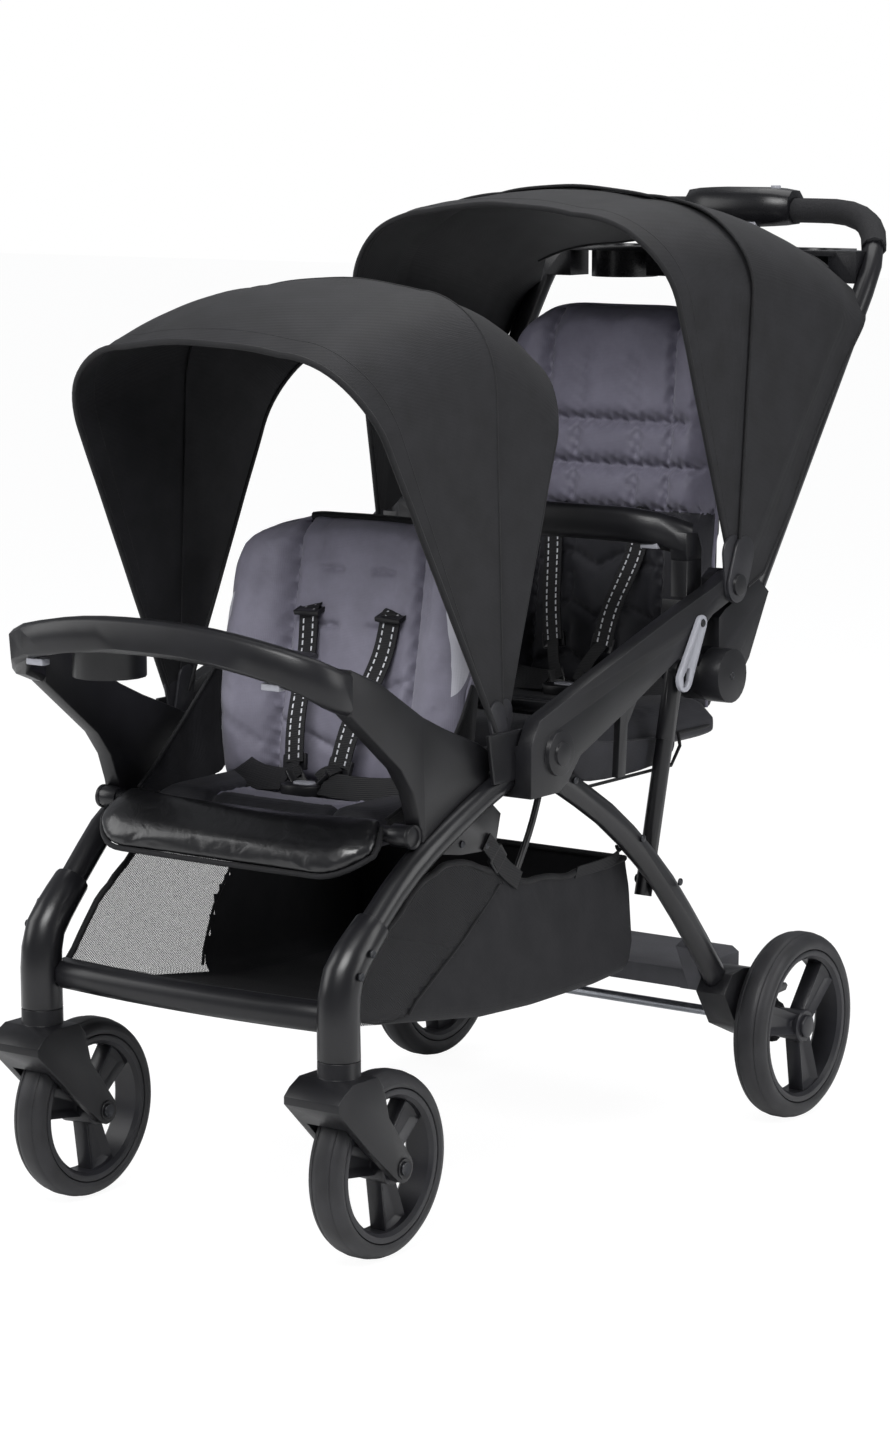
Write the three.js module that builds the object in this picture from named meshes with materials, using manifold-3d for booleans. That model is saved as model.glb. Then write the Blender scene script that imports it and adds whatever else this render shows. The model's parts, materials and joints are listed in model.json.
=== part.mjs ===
// A double sit and stand stroller, in millimetres, with +Z up.
// +X is the children's left, -Y is forwards and the wheels stand on Z = 0.
// Pieces are laid out from the point on the ground under the middle of the front axle,
// and the last lines shift them so that the origin is under the middle of the stroller.

import * as THREE from "three";
import { mergeVertices } from "three/addons/utils/BufferGeometryUtils.js";
import Module from "manifold-3d";

const wasm = await Module();
wasm.setup();

// Clearances

const SEAT_GAP = 0.3;
const RUNNING_GAP = 0.4;
const SIDE_GAP = 0.6;

// Front running gear

const FRONT_WHEEL = { radius: 96.5, width: 40, rimRadius: 78.6, x: 195, y: 0 };
const FRONT_AXLE_RADIUS = 5;
const CASTER = { x: FRONT_WHEEL.x, y: -63, stemRadius: 22, seamZ: 217, wheelClearance: 5 };
const FORK = { halfWidth: 34, slotHalfWidth: 24, axleEndRadius: 15 };
const SLEEVE_RADIUS = 19;
const CROSSBAR = { depth: 32, height: 28, y: -50, bow: 12, z: 254 };

// Rear running gear

const REAR_WHEEL = { radius: 107.5, width: 40, rimRadius: 87.4, x: 254.4, y: 721 };
const REAR_AXLE = { radius: 6, halfLength: 262 };
const REAR_AXLE_LINE = { y: REAR_WHEEL.y, z: REAR_WHEEL.radius };
const BRACKET = { inner: 194.5, outer: 232, eyeRadius: 24 };
const PEDAL = { inner: 178, outer: 193.6, eyeRadius: 13, padFront: 782, padRear: 812, padZ: 128 };
const PLATFORM = { halfWidth: 165, front: 628, rear: 770, top: 177, bottom: 155, wall: 5, tread: 6 };

// Frame tubes, rails and hinges

const FRONT_LEG = { radius: 14.5, x: 205, topY: 226, topZ: 468 };
const REAR_LEG = { x: 209.5, halfX: 11.5, halfHeight: 15 };
const HUB = { y: 256, z: 485, pinRadius: 7, eyeRadius: 21, bossRadius: 24, capRadius: 13, boss: 5, cap: 3 };
const RAIL = { inner: 222, outer: 240 };
const FOLD_PIVOT = { y: 602, z: 627, pinRadius: 12, eyeRadius: 15, lugRadius: 18, end: 250 };
const LINK_PIVOT = { y: 566, z: 531, pinRadius: 8 };
const DISC = { radius: 30, inner: 236, outer: 262 };
const CASTING = { inner: 208, outer: 237, lugOuter: 221.4 };
const STRUT = { x: 187, radius: 10, eyeRadius: 13, pinY: 509, pinZ: 304, pinRadius: 5, overhang: 18 };
const STRUT_SLEEVE = { radius: 13, length: 78 };
const LEVER = { pivotY: 530, pivotZ: 592, loopY: 496, loopZ: 534, inner: 240.6, outer: 246, loopRadius: 14 };
const GUSSET = { inner: 186.8, outer: 190, tubeY: 206, tubeZ: 398, tubeRadius: 9 };
const GUSSET_BOSS = { y: 142, z: 430, radius: 8, end: 198 };
const BLOCK = { inner: 186.4, front: 207, rear: 233.5, top: 497, bottom: 443 };

// Handle

const HANDLE = { radius: 12.5, x: 225, barY: 1013, barZ: 1026 };
const UPRIGHT_FOOT = { y: 672.2, z: 619.3 };
const UPRIGHT_TOP = { y: 907, z: 936 };
const GRIP_RADIUS = 15.2;
const CONSOLE = { halfLength: 72, y: HANDLE.barY - 4, z: HANDLE.barZ + 3.5, depth: 56, height: 47 };
const TRIGGER = { halfLength: 32, depth: 13, height: 24, rearGap: 11, topDrop: 16.5, travel: 6 };
const LOCK_BUTTON = { x: 46, radius: 6, height: 8.5, proud: 2.5, travel: 3 };
const PARENT_TRAY = {
  halfWidth: 190,
  front: UPRIGHT_TOP.y - 5,
  depth: 94,
  top: UPRIGHT_TOP.z + 47,
  plate: 6,
  wall: 3,
};
const PARENT_CUP = { x: 130, y: PARENT_TRAY.front + 46, radius: 41, bottom: PARENT_TRAY.top - 38 };
const PARENT_BIN = { halfWidth: 76, inset: 10, bottom: PARENT_TRAY.top - 35 };
const PARENT_LUG = { inset: 2, depth: 40, drop: 37 };

// Front tray and rear child bar

const TRAY_ARM = { inner: 188, outer: 208, partingY: -58, rear: 178 };
const TRAY_BAR = { height: 36, thickness: 20, endZ: 584, z: 628, y: -121 };
const TRAY_DECK = { z: 611, thickness: 4, rear: -24, halfWidth: 168 };
const TRAY_CUP = { x: -95, y: -64, radius: 38, bottom: 576, wall: 3 };
const CLIP = { length: 22, width: 12, height: 7, proud: 4, travel: 3 };
const TRAY_CLIP = { x: 152, y: -109, bottom: 588 };
const REAR_BAR = { height: 38, thickness: 24, y: 544, z: 692, endX: 194, partingZ: 655 };
const BAR_MOUNT = { inner: 186, outer: 207, front: 558, rear: 588, bottom: 600 };

// Seats

const CALF_TUBE = { y: 50, z: 424, radius: 9, bossRadius: 12, bossInner: 180, bossOuter: 204 };
const CALF_REST = { halfWidth: 160, front: -14 };
const FRONT_PAN = {
  halfWidth: 158,
  front: 62,
  rear: 198,
  top: 437,
  base: GUSSET.tubeZ + GUSSET.tubeRadius + SEAT_GAP,
  baseThickness: 9,
};
const FRONT_BACK = { y: 212, z: 430, tube: 6, width: 296, length: 292, lean: 9.6, thickness: 44 };
const REAR_PAN = { halfWidth: 172, front: 396, rear: 698.6, base: 440, baseThickness: 16, top: 484 };
const REAR_PAN_TUBE = { y: 335, z: 516, radius: 9 };
const REAR_PANEL = { thickness: 12, bottom: 418, front: 396, rear: 604 };
const REAR_BACK = { y: 706, z: 456, tube: 7, width: 290, length: 462, lean: 5.9, thickness: 42 };
const FRONT_BUCKLE = { y: 136, z: 434 };
const REAR_BUCKLE = { y: 627, z: 480 };
const BUCKLE = { width: 50, depth: 40, height: 12, corner: 10, stemWidth: 24, stem: 12 };
const BUTTON = { width: 26, depth: 16, height: 5, corner: 5, proud: 1.5, travel: 2 };

// Canopies: angles are measured about the pivot, from straight back up and over

const FRONT_CANOPY = {
  y: 190,
  z: 490,
  halfWidth: 211,
  radius: 477,
  pinRadius: 6,
  rear: 68,
  seam: 88,
  lip: 118,
  rearDrop: 30,
  lipInset: 17,
};
const REAR_CANOPY = {
  y: FOLD_PIVOT.y,
  z: FOLD_PIVOT.z,
  halfWidth: 241,
  radius: 431,
  pinRadius: FOLD_PIVOT.pinRadius,
  rear: 52,
  seam: 85,
  lip: 105,
  lipInset: 22,
};
const REAR_HOOD_GROWTH = 64;
const CLOTH = 2.2;
const CANOPY_FLAT_HALF_WIDTH = 100;
const CANOPY_CORNER = 105;
const CANOPY_CROWN = 10;
const CANOPY_TIP = 48;

// Basket

const BASKET = { halfWidth: 186, wall: 3, front: CROSSBAR.y + CROSSBAR.depth / 2 + SEAT_GAP };

// Small helpers for points and solids

const vec = (x, y, z) => new THREE.Vector3(x, y, z);
const radians = (degrees) => (degrees * Math.PI) / 180;

function turnFaces(triangles) {
  for (let i = 0; i < triangles.length; i += 3) {
    const swap = triangles[i + 1];
    triangles[i + 1] = triangles[i + 2];
    triangles[i + 2] = swap;
  }
}

// A closed geometry as a solid that can be joined and cut, its faces turned outwards.
function solid(geometry) {
  const bare = geometry.index ? geometry.toNonIndexed() : geometry.clone();
  bare.deleteAttribute("normal");
  bare.deleteAttribute("uv");
  const merged = mergeVertices(bare, 1e-3);
  const vertProperties = merged.attributes.position.array;
  const triVerts = new Uint32Array(merged.index.array);
  const body = new wasm.Manifold(new wasm.Mesh({ numProp: 3, vertProperties, triVerts }));
  if (body.volume() > 0) return body;
  turnFaces(triVerts);
  return new wasm.Manifold(new wasm.Mesh({ numProp: 3, vertProperties, triVerts }));
}

function geometryOf(body) {
  const mesh = body.getMesh();
  const geometry = new THREE.BufferGeometry();
  geometry.setAttribute("position", new THREE.BufferAttribute(mesh.vertProperties, 3));
  geometry.setIndex(new THREE.BufferAttribute(mesh.triVerts, 1));
  return geometry;
}

function mirroredGeometry(geometry) {
  const other = geometry.clone().scale(-1, 1, 1);
  turnFaces(other.index.array);
  return other;
}

const join = (...bodies) => bodies.reduce((sum, body) => sum.add(body));
const cut = (body, ...tools) => tools.reduce((rest, tool) => rest.subtract(tool), body);
const mirrorImage = (body) => solid(mirroredGeometry(geometryOf(body)));
const withMirror = (body) => join(body, mirrorImage(body));

function outlineShape(points) {
  return new THREE.Shape(points.map(([a, b]) => new THREE.Vector2(a, b)));
}

// A side outline of [y, z] points, as thick as the span from x0 to x1.
function plate(points, x0, x1) {
  const geometry = new THREE.ExtrudeGeometry(outlineShape(points), { depth: x1 - x0, bevelEnabled: false });
  geometry.applyMatrix4(new THREE.Matrix4().makeBasis(vec(0, 1, 0), vec(0, 0, 1), vec(1, 0, 0)));
  return solid(geometry.translate(x0, 0, 0));
}

// A plan outline of [x, y] points, from z0 up to z1.
function slab(points, z0, z1) {
  const geometry = new THREE.ExtrudeGeometry(outlineShape(points), { depth: z1 - z0, bevelEnabled: false });
  return solid(geometry.translate(0, 0, z0));
}

function block(x0, x1, y0, y1, z0, z1) {
  const geometry = new THREE.BoxGeometry(x1 - x0, y1 - y0, z1 - z0);
  return solid(geometry.translate((x0 + x1) / 2, (y0 + y1) / 2, (z0 + z1) / 2));
}

// A round bar along X, from x0 to x1, about the line through y and z.
function bar(radius, x0, x1, { y, z }, sides = 12) {
  const geometry = new THREE.CylinderGeometry(radius, radius, x1 - x0, sides);
  geometry.rotateZ(-Math.PI / 2);
  return solid(geometry.translate((x0 + x1) / 2, y, z));
}

// A round post along Z, from z0 up to z1.
function post(radius, x, y, z0, z1, sides = 16) {
  const geometry = new THREE.CylinderGeometry(radius, radius, z1 - z0, sides);
  geometry.rotateX(Math.PI / 2);
  return solid(geometry.translate(x, y, (z0 + z1) / 2));
}

// A closed profile of [radius, along] points, turned about a line parallel to X.
function turned(profile, sides, x, y, z) {
  const points = [...profile, profile[0]].map(([r, along]) => new THREE.Vector2(r, along));
  const geometry = new THREE.LatheGeometry(points, sides);
  geometry.rotateZ(-Math.PI / 2);
  return solid(geometry.translate(x, y, z));
}

function ellipse(halfA, halfB, sides = 10) {
  const points = [];
  for (let i = 0; i < sides; i++) {
    const angle = (2 * Math.PI * i) / sides;
    points.push([halfA * Math.cos(angle), halfB * Math.sin(angle)]);
  }
  return points;
}

// Points on a circle about a pivot in the side view, from one angle to another in degrees.
function arc({ y, z }, radius, from, to, steps) {
  const points = [];
  for (let i = 0; i <= steps; i++) {
    const angle = radians(from + ((to - from) * i) / steps);
    points.push([y + radius * Math.cos(angle), z + radius * Math.sin(angle)]);
  }
  return points;
}

function roundedSection(width, height, corner) {
  const w = width / 2;
  const h = height / 2;
  return [
    [-w + corner, -h],
    [w - corner, -h],
    [w, -h + corner],
    [w, h - corner],
    [w - corner, h],
    [-w + corner, h],
    [-w, h - corner],
    [-w, -h + corner],
  ];
}

// A closed surface from points and the corner numbers of its triangles.
function shellSolid(points, index) {
  const geometry = new THREE.BufferGeometry();
  const positions = points.flatMap((p) => [p.x, p.y, p.z]);
  geometry.setAttribute("position", new THREE.Float32BufferAttribute(positions, 3));
  geometry.setIndex(index);
  return solid(geometry);
}

// A solid through a row of closed rings with equal counts of points, capped at both ends.
function loft(rings) {
  const count = rings[0].length;
  const points = rings.flat();
  const index = [];
  for (let r = 0; r + 1 < rings.length; r++) {
    for (let i = 0; i < count; i++) {
      const a = r * count + i;
      const b = r * count + ((i + 1) % count);
      index.push(a, b, a + count, b, b + count, a + count);
    }
  }
  for (const [start, isFirst] of [
    [0, true],
    [(rings.length - 1) * count, false],
  ]) {
    const ring = points.slice(start, start + count);
    const middle = ring.reduce((sum, p) => sum.add(p), vec(0, 0, 0)).divideScalar(count);
    const centre = points.push(middle) - 1;
    for (let i = 0; i < count; i++) {
      const a = start + i;
      const b = start + ((i + 1) % count);
      index.push(...(isFirst ? [centre, b, a] : [centre, a, b]));
    }
  }
  return shellSolid(points, index);
}

// A section swept along a smooth path. Its second axis keeps to the up direction,
// and scaleAt widens or narrows it along the way.
function sweep(points, section, steps, { up = vec(0, 0, 1), scaleAt = () => 1 } = {}) {
  const path = new THREE.CatmullRomCurve3(points, false, "centripetal");
  const rings = [];
  for (let i = 0; i <= steps; i++) {
    const t = i / steps;
    const centre = path.getPointAt(t);
    const along = path.getTangentAt(t);
    const side = along.clone().cross(up).normalize();
    const over = side.clone().cross(along);
    const scale = scaleAt(t);
    rings.push(
      section.map(([s, u]) => {
        const point = centre.clone().addScaledVector(side, s * scale);
        return point.addScaledVector(over, u * scale);
      }),
    );
  }
  return loft(rings);
}

// A closed skin between an outer grid of points and the inner grid behind it.
function skin(outer, inner) {
  const rows = outer.length;
  const columns = outer[0].length;
  const index = [];
  const at = (layer, r, c) => layer * rows * columns + r * columns + c;
  const quad = (a, b, c, d) => index.push(a, b, c, a, c, d);
  for (let r = 0; r + 1 < rows; r++) {
    for (let c = 0; c + 1 < columns; c++) {
      quad(at(0, r, c), at(0, r, c + 1), at(0, r + 1, c + 1), at(0, r + 1, c));
      quad(at(1, r, c), at(1, r + 1, c), at(1, r + 1, c + 1), at(1, r, c + 1));
    }
    quad(at(0, r, 0), at(0, r + 1, 0), at(1, r + 1, 0), at(1, r, 0));
    quad(at(0, r, columns - 1), at(1, r, columns - 1), at(1, r + 1, columns - 1), at(0, r + 1, columns - 1));
  }
  for (let c = 0; c + 1 < columns; c++) {
    quad(at(0, 0, c), at(1, 0, c), at(1, 0, c + 1), at(0, 0, c + 1));
    quad(at(0, rows - 1, c), at(0, rows - 1, c + 1), at(1, rows - 1, c + 1), at(1, rows - 1, c));
  }
  return shellSolid([...outer.flat(), ...inner.flat()], index);
}

// A sewn pad on a flat back. Its face is crowned, its sides draw in between the corners,
// and each channel is a line sewn across the face at a share of its length.
function pad({ origin, along, width, length, thickness, edge = 6, channels = [], columns = 10, rows = 12 }) {
  const across = vec(1, 0, 0);
  const out = across.clone().cross(along);
  const drawIn = 0.03;
  const channelDepth = 0.4;
  const channelWidth = 0.03;
  const point = (c, r, height) => {
    const a = (2 * c) / columns - 1;
    const b = (2 * r) / rows - 1;
    const narrowing = 1 - drawIn * (1 - b * b) - 0.12 * b ** 10;
    const shortening = 1 - 0.05 * a ** 6;
    return origin
      .clone()
      .addScaledVector(across, (a * narrowing * width) / 2)
      .addScaledVector(along, (length * (1 + b * shortening)) / 2)
      .addScaledVector(out, height(a, b));
  };
  const crowned = (a, b) => {
    const crown = Math.sqrt((1 - a ** 4) * (1 - b ** 4));
    const share = (1 + b) / 2;
    const sewn = Math.max(0, ...channels.map((line) => Math.exp(-(((share - line) / channelWidth) ** 2))));
    return edge + (thickness - edge) * crown * (1 - channelDepth * sewn);
  };
  const grid = (height) =>
    Array.from({ length: rows + 1 }, (_, r) =>
      Array.from({ length: columns + 1 }, (_, c) => point(c, r, height)),
    );
  return skin(grid(crowned), grid(() => 0));
}

// The stroller and the finishes of its pieces

const group = new THREE.Group();
const stroller = new THREE.Group();
group.add(stroller);

function finish(color, roughness, metalness = 0) {
  return new THREE.MeshStandardMaterial({ color, roughness, metalness });
}

const paintedTube = finish(0x29292e, 0.4, 0.3);
const moulding = finish(0x2b2b2f, 0.5);
const wheelPlastic = finish(0x38383b, 0.55);
const tyreRubber = finish(0x444347, 0.7);
const brightSteel = finish(0xb9bcc2, 0.25, 1);
const lightPlastic = finish(0x9fa1a8, 0.45);
const foam = finish(0x2e2d30, 0.9);
const treadPlastic = finish(0x55555a, 0.7);
const seatCloth = finish(0x66656f, 0.75);
const rearSeatCloth = finish(0x4b4a56, 0.7);
const darkCloth = finish(0x1f1f22, 0.6);
const canopyCloth = finish(0x2b2b2d, 0.85);
const basketCloth = finish(0x28282b, 0.85);

function add(name, body, look) {
  const mesh = new THREE.Mesh(geometryOf(body), look);
  mesh.name = name;
  stroller.add(mesh);
}

// The same piece on the left and, mirrored, on the right.
function addPair(name, body, look) {
  const geometry = geometryOf(body);
  const left = new THREE.Mesh(geometry, look);
  const right = new THREE.Mesh(mirroredGeometry(geometry), look);
  left.name = `${name}_left`;
  right.name = `${name}_right`;
  stroller.add(left, right);
}

// Wheels: a moulded tyre on a rim with three split spokes

function tyre(wheel) {
  const half = wheel.width / 2;
  const seat = wheel.rimRadius + SEAT_GAP;
  const wall = wheel.radius - seat;
  const profile = [
    [seat, 4 - half],
    [seat + wall * 0.5, -half],
    [wheel.radius - 1.5, -half * 0.55],
    [wheel.radius, 0],
    [wheel.radius - 1.5, half * 0.55],
    [seat + wall * 0.5, half],
    [seat, half - 4],
  ];
  return turned(profile, 28, wheel.x, wheel.y, wheel.radius);
}

function rim(wheel, axleRadius) {
  const ringWall = 9;
  const ringHalf = wheel.width / 2 - 5;
  const inner = wheel.rimRadius - ringWall;
  const ringProfile = [
    [inner, 3 - ringHalf],
    [wheel.rimRadius, -ringHalf],
    [wheel.rimRadius, ringHalf],
    [inner, ringHalf - 3],
  ];
  const ring = turned(ringProfile, 28, wheel.x, wheel.y, wheel.radius);
  const hubRadius = 18;
  const hubHalf = wheel.width / 2 + 1.8;
  const centre = { y: wheel.y, z: wheel.radius };
  const hub = bar(hubRadius, wheel.x - hubHalf, wheel.x + hubHalf, centre);
  const spokes = [];
  const splitAngle = 11;
  const spokeWidth = 9;
  const spokeDepth = 18;
  for (let i = 0; i < 3; i++) {
    for (const side of [-1, 1]) {
      const from = hubRadius * 0.5;
      const to = wheel.rimRadius - ringWall / 2;
      const spoke = new THREE.BoxGeometry(spokeDepth, to - from, spokeWidth);
      spoke.translate(0, (from + to) / 2, 0);
      spoke.rotateX(radians(120 * i + side * splitAngle));
      spokes.push(solid(spoke.translate(wheel.x, wheel.y, wheel.radius)));
    }
  }
  const bore = bar(axleRadius + RUNNING_GAP, wheel.x - wheel.width, wheel.x + wheel.width, centre);
  return cut(join(ring, hub, ...spokes), bore);
}

addPair("front_tyre", tyre(FRONT_WHEEL), tyreRubber);
addPair("front_rim", rim(FRONT_WHEEL, FRONT_AXLE_RADIUS), wheelPlastic);
addPair("rear_tyre", tyre(REAR_WHEEL), tyreRubber);
addPair("rear_rim", rim(REAR_WHEEL, REAR_AXLE.radius), wheelPlastic);

// Caster fork: a wedge crown, two arms down to the axle, and the axle between them

function casterFork() {
  const { radius, x } = FRONT_WHEEL;
  const axle = { y: 0, z: radius };
  const outline = [
    [-109, 176],
    [-109, 184],
    [-100, 192],
    [-84, 200],
    [-44, 200],
    [-34, 188],
    [-25, 154],
    ...arc(axle, FORK.axleEndRadius, 35, -125, 6),
    [-58, 127],
  ];
  const wedge = plate(outline, x - FORK.halfWidth, x + FORK.halfWidth);
  const slotRadius = radius + CASTER.wheelClearance;
  const slot = bar(slotRadius, x - FORK.slotHalfWidth, x + FORK.slotHalfWidth, axle, 24);
  const collar = post(CASTER.stemRadius, x, CASTER.y, 195, CASTER.seamZ - SEAT_GAP);
  const pin = bar(FRONT_AXLE_RADIUS, x - FORK.halfWidth, x + FORK.halfWidth, axle);
  return join(cut(wedge, slot), collar, pin);
}

addPair("caster_fork", casterFork(), moulding);

// Front leg: one curved tube from the housing's sleeve up into the side rail's socket

function frontLegTube(clearance) {
  const { x, topY, topZ } = FRONT_LEG;
  const route = [
    vec(196, -30 - clearance, 325.5 - clearance),
    vec(199, 16, 367),
    vec(202.5, 49, 393),
    vec(x, 110, 425),
    vec(x, 173, 451),
    vec(x, topY + clearance, topZ + clearance / 2),
  ];
  const radius = FRONT_LEG.radius + clearance;
  return sweep(route, ellipse(radius, radius), 9, { up: vec(1, 0, 0) });
}

const legSocket = frontLegTube(SEAT_GAP);

addPair("front_leg", frontLegTube(0), paintedTube);

// Caster housing: the upright stem, the elbow, and the sleeve that holds the leg

function casterHousing() {
  const { x, y, seamZ, stemRadius } = CASTER;
  const route = [
    vec(x, y, seamZ),
    vec(x, y, 272),
    vec(x, -57, 298),
    vec(x + 0.5, -41, 317),
    vec(x + 2.5, -10, 343.5),
  ];
  const scaleAt = (t) => 1 - (1 - SLEEVE_RADIUS / stemRadius) * t ** 2;
  const elbow = sweep(route, ellipse(stemRadius, stemRadius, 16), 7, { up: vec(1, 0, 0), scaleAt });
  return cut(elbow, legSocket);
}

addPair("caster_housing", casterHousing(), paintedTube);

// Front crossbar: a bowed bar between the two housings

function frontCrossbar() {
  const { depth, height, y, bow, z } = CROSSBAR;
  const end = CASTER.x - 11;
  const route = [-1, -0.5, 0, 0.5, 1].map((share) => vec(share * end, y - bow * (1 - share * share), z));
  const beam = sweep(route, roundedSection(depth, height, 7), 10);
  const housing = post(CASTER.stemRadius + SIDE_GAP, CASTER.x, CASTER.y, z - height, z + height);
  return cut(beam, housing, mirrorImage(housing));
}

add("front_crossbar", frontCrossbar(), moulding);

// Rear leg: a flattened tube curving down from the hub, with the strut's pin on its inner side

function rearLegTube(clearance) {
  const { x, halfX, halfHeight } = REAR_LEG;
  const route = [
    vec(x, HUB.y, HUB.z - 8),
    vec(x, 296, 451),
    vec(x, 381, 404),
    vec(x, 445, 359),
    vec(x, STRUT.pinY, STRUT.pinZ),
    vec(x, 556, 254),
    vec(x, 626, 172),
    vec(x, 646 + clearance, 142 - clearance),
  ];
  const section = ellipse(halfHeight + clearance, halfX + clearance);
  return sweep(route, section, 10, { up: vec(1, 0, 0) });
}

function rearLeg() {
  const { x, halfX } = REAR_LEG;
  const eye = bar(HUB.eyeRadius, x - halfX, x + halfX, HUB, 20);
  const bore = bar(HUB.pinRadius + RUNNING_GAP, x - halfX - 1, x + halfX + 1, HUB);
  const pinEnd = STRUT.x - STRUT.radius - 1;
  const pin = bar(STRUT.pinRadius, pinEnd, x, { y: STRUT.pinY, z: STRUT.pinZ });
  return join(cut(join(rearLegTube(0), eye), bore), pin);
}

addPair("rear_leg", rearLeg(), paintedTube);

// Rear axle bracket: a moulding on the lower end of the leg, with the axle's eye

function rearBracket() {
  const outline = [
    [606, 160],
    [622, 180],
    [648, 184],
    [676, 179],
    [704, 156],
    ...arc(REAR_AXLE_LINE, BRACKET.eyeRadius, 75, -110, 7),
    [680, 98],
    [634, 118],
  ];
  const bore = bar(REAR_AXLE.radius + SEAT_GAP, BRACKET.inner - 1, BRACKET.outer + 1, REAR_AXLE_LINE);
  return cut(plate(outline, BRACKET.inner, BRACKET.outer), rearLegTube(SEAT_GAP), bore);
}

addPair("rear_axle_bracket", rearBracket(), moulding);
const rearAxle = bar(REAR_AXLE.radius, -REAR_AXLE.halfLength, REAR_AXLE.halfLength, REAR_AXLE_LINE);
add("rear_axle", rearAxle, brightSteel);

// Brake pedal: an eye on the axle with a foot pad behind it

function brakePedal() {
  const { inner, outer, eyeRadius, padFront, padRear, padZ } = PEDAL;
  const { y, z } = REAR_AXLE_LINE;
  const arm = [
    [y - 4, z + 12],
    [padFront, padZ + 4],
    [padRear - 4, padZ + 4],
    [padRear, padZ],
    [padRear - 4, padZ - 5],
    [padFront, padZ - 6],
    [y + 6, z - 10],
  ];
  const pedal = join(bar(eyeRadius, inner, outer, REAR_AXLE_LINE), plate(arm, inner, outer));
  return cut(pedal, bar(REAR_AXLE.radius + RUNNING_GAP, inner - 1, outer + 1, REAR_AXLE_LINE));
}

addPair("brake_pedal", brakePedal(), moulding);

// Standing platform: a tray turned upside down, with an arm up each rear leg

function standingPlatform() {
  const { halfWidth, front, rear, top, bottom, wall, tread } = PLATFORM;
  const corner = 22;
  const plan = (inset) => [
    [-halfWidth + inset, front + inset],
    [halfWidth - inset, front + inset],
    [halfWidth - inset, rear - corner],
    [halfWidth - corner, rear - inset],
    [-halfWidth + corner, rear - inset],
    [-halfWidth + inset, rear - corner],
  ];
  const deck = cut(slab(plan(0), bottom, top), slab(plan(wall), bottom - 1, top - tread));
  const arm = [
    [front - 2, bottom],
    [front + 34, bottom],
    [front + 34, top],
    [front + 6, top + 10],
    [front - 16, top + 40],
    [front - 32, top + 34],
  ];
  const foot = [
    [front - 2, bottom],
    [front + 34, bottom],
    [front + 34, top],
    [front - 2, top],
  ];
  const armEnd = BRACKET.inner - SEAT_GAP;
  const side = join(plate(arm, REAR_PAN.halfWidth + SIDE_GAP, armEnd), plate(foot, halfWidth - wall, armEnd));
  return join(deck, side, mirrorImage(side));
}

add("standing_platform", standingPlatform(), treadPlastic);

// Folding strut: a tube from the rear leg's pin up to the fold hinge, sleeved at its upper end

function strut() {
  const { x, radius, eyeRadius, pinY, pinZ, pinRadius, overhang } = STRUT;
  const foot = vec(x, pinY, pinZ);
  const head = vec(x, LINK_PIVOT.y, LINK_PIVOT.z);
  const along = head.clone().sub(foot).normalize();
  const up = vec(1, 0, 0);
  const route = [foot.clone().addScaledVector(along, -overhang), head];
  const tube = sweep(route, ellipse(radius, radius), 1, { up });
  const sleeveEnd = head.clone().addScaledVector(along, -STRUT_SLEEVE.length);
  const sleeveSection = ellipse(STRUT_SLEEVE.radius, radius);
  const sleeve = sweep([sleeveEnd, head], sleeveSection, 1, { up });
  const eye = bar(eyeRadius, x - radius, x + radius, LINK_PIVOT);
  const bore = bar(pinRadius + RUNNING_GAP, x - radius - 1, x + radius + 1, { y: pinY, z: pinZ });
  return cut(join(tube, sleeve, eye), bore);
}

addPair("strut", strut(), paintedTube);

// Side rail: the long moulding from the hub to the fold pivot, with everything that it carries

function sideRail() {
  const { inner, outer } = RAIL;
  const outline = [
    [BLOCK.front, BLOCK.bottom],
    [BLOCK.front, BLOCK.top],
    [222, 523],
    [356, 565],
    [478, 604],
    [566, 629],
    ...arc(FOLD_PIVOT, FOLD_PIVOT.eyeRadius, 110, -80, 8),
    [560, 598],
    [501, 562],
    [402, 519],
    [299, 477],
    [275, 452],
    [258, BLOCK.bottom],
  ];
  const web = plate(outline, inner, outer);
  const hubBoss = bar(HUB.bossRadius, outer - 1, outer + HUB.boss, HUB, 20);
  const hubCap = bar(HUB.capRadius, outer, outer + HUB.boss + HUB.cap, HUB);
  const hubPin = bar(HUB.pinRadius, REAR_LEG.x - REAR_LEG.halfX - 1, inner + 1, HUB);
  const foldPin = bar(FOLD_PIVOT.pinRadius, CASTING.inner - SEAT_GAP, FOLD_PIVOT.end, FOLD_PIVOT, 16);
  const leverPin = bar(4, outer - 1, LEVER.outer + 1, { y: LEVER.pivotY, z: LEVER.pivotZ }, 12);
  return join(web, hubBoss, hubCap, hubPin, foldPin, leverPin, railSocket(), railHanger(), barMount());
}

// The block that the front leg plugs into, with the front canopy's pin ahead of it.
function railSocket() {
  const { inner, front, rear, top, bottom } = BLOCK;
  const socket = cut(block(inner, RAIL.inner + 1, front, rear, bottom, top), legSocket);
  const canopyArm = block(194, 209, FRONT_CANOPY.y - 9, front + 1, 481, top);
  const pinEnd = FRONT_CANOPY.halfWidth + 2 * CLOTH + SIDE_GAP + 2;
  const canopyPin = bar(FRONT_CANOPY.pinRadius, 200, pinEnd, FRONT_CANOPY, 16);
  return join(socket, canopyArm, canopyPin);
}

function railHanger() {
  const outline = [
    [383, 440],
    [398, 440],
    [402, 496],
    [430, 532],
    [388, 514],
  ];
  return plate(outline, RAIL.inner + 2, RAIL.inner + 10);
}

// The block that the rear child bar stands on, and its web out to the rail.
function barMount() {
  const { inner, outer, front, rear, bottom } = BAR_MOUNT;
  const stand = block(inner, outer, front, rear, bottom, REAR_BAR.partingZ);
  return join(stand, block(inner, RAIL.inner + 1, front - 18, front + 7, bottom - 8, bottom + 14));
}

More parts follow.
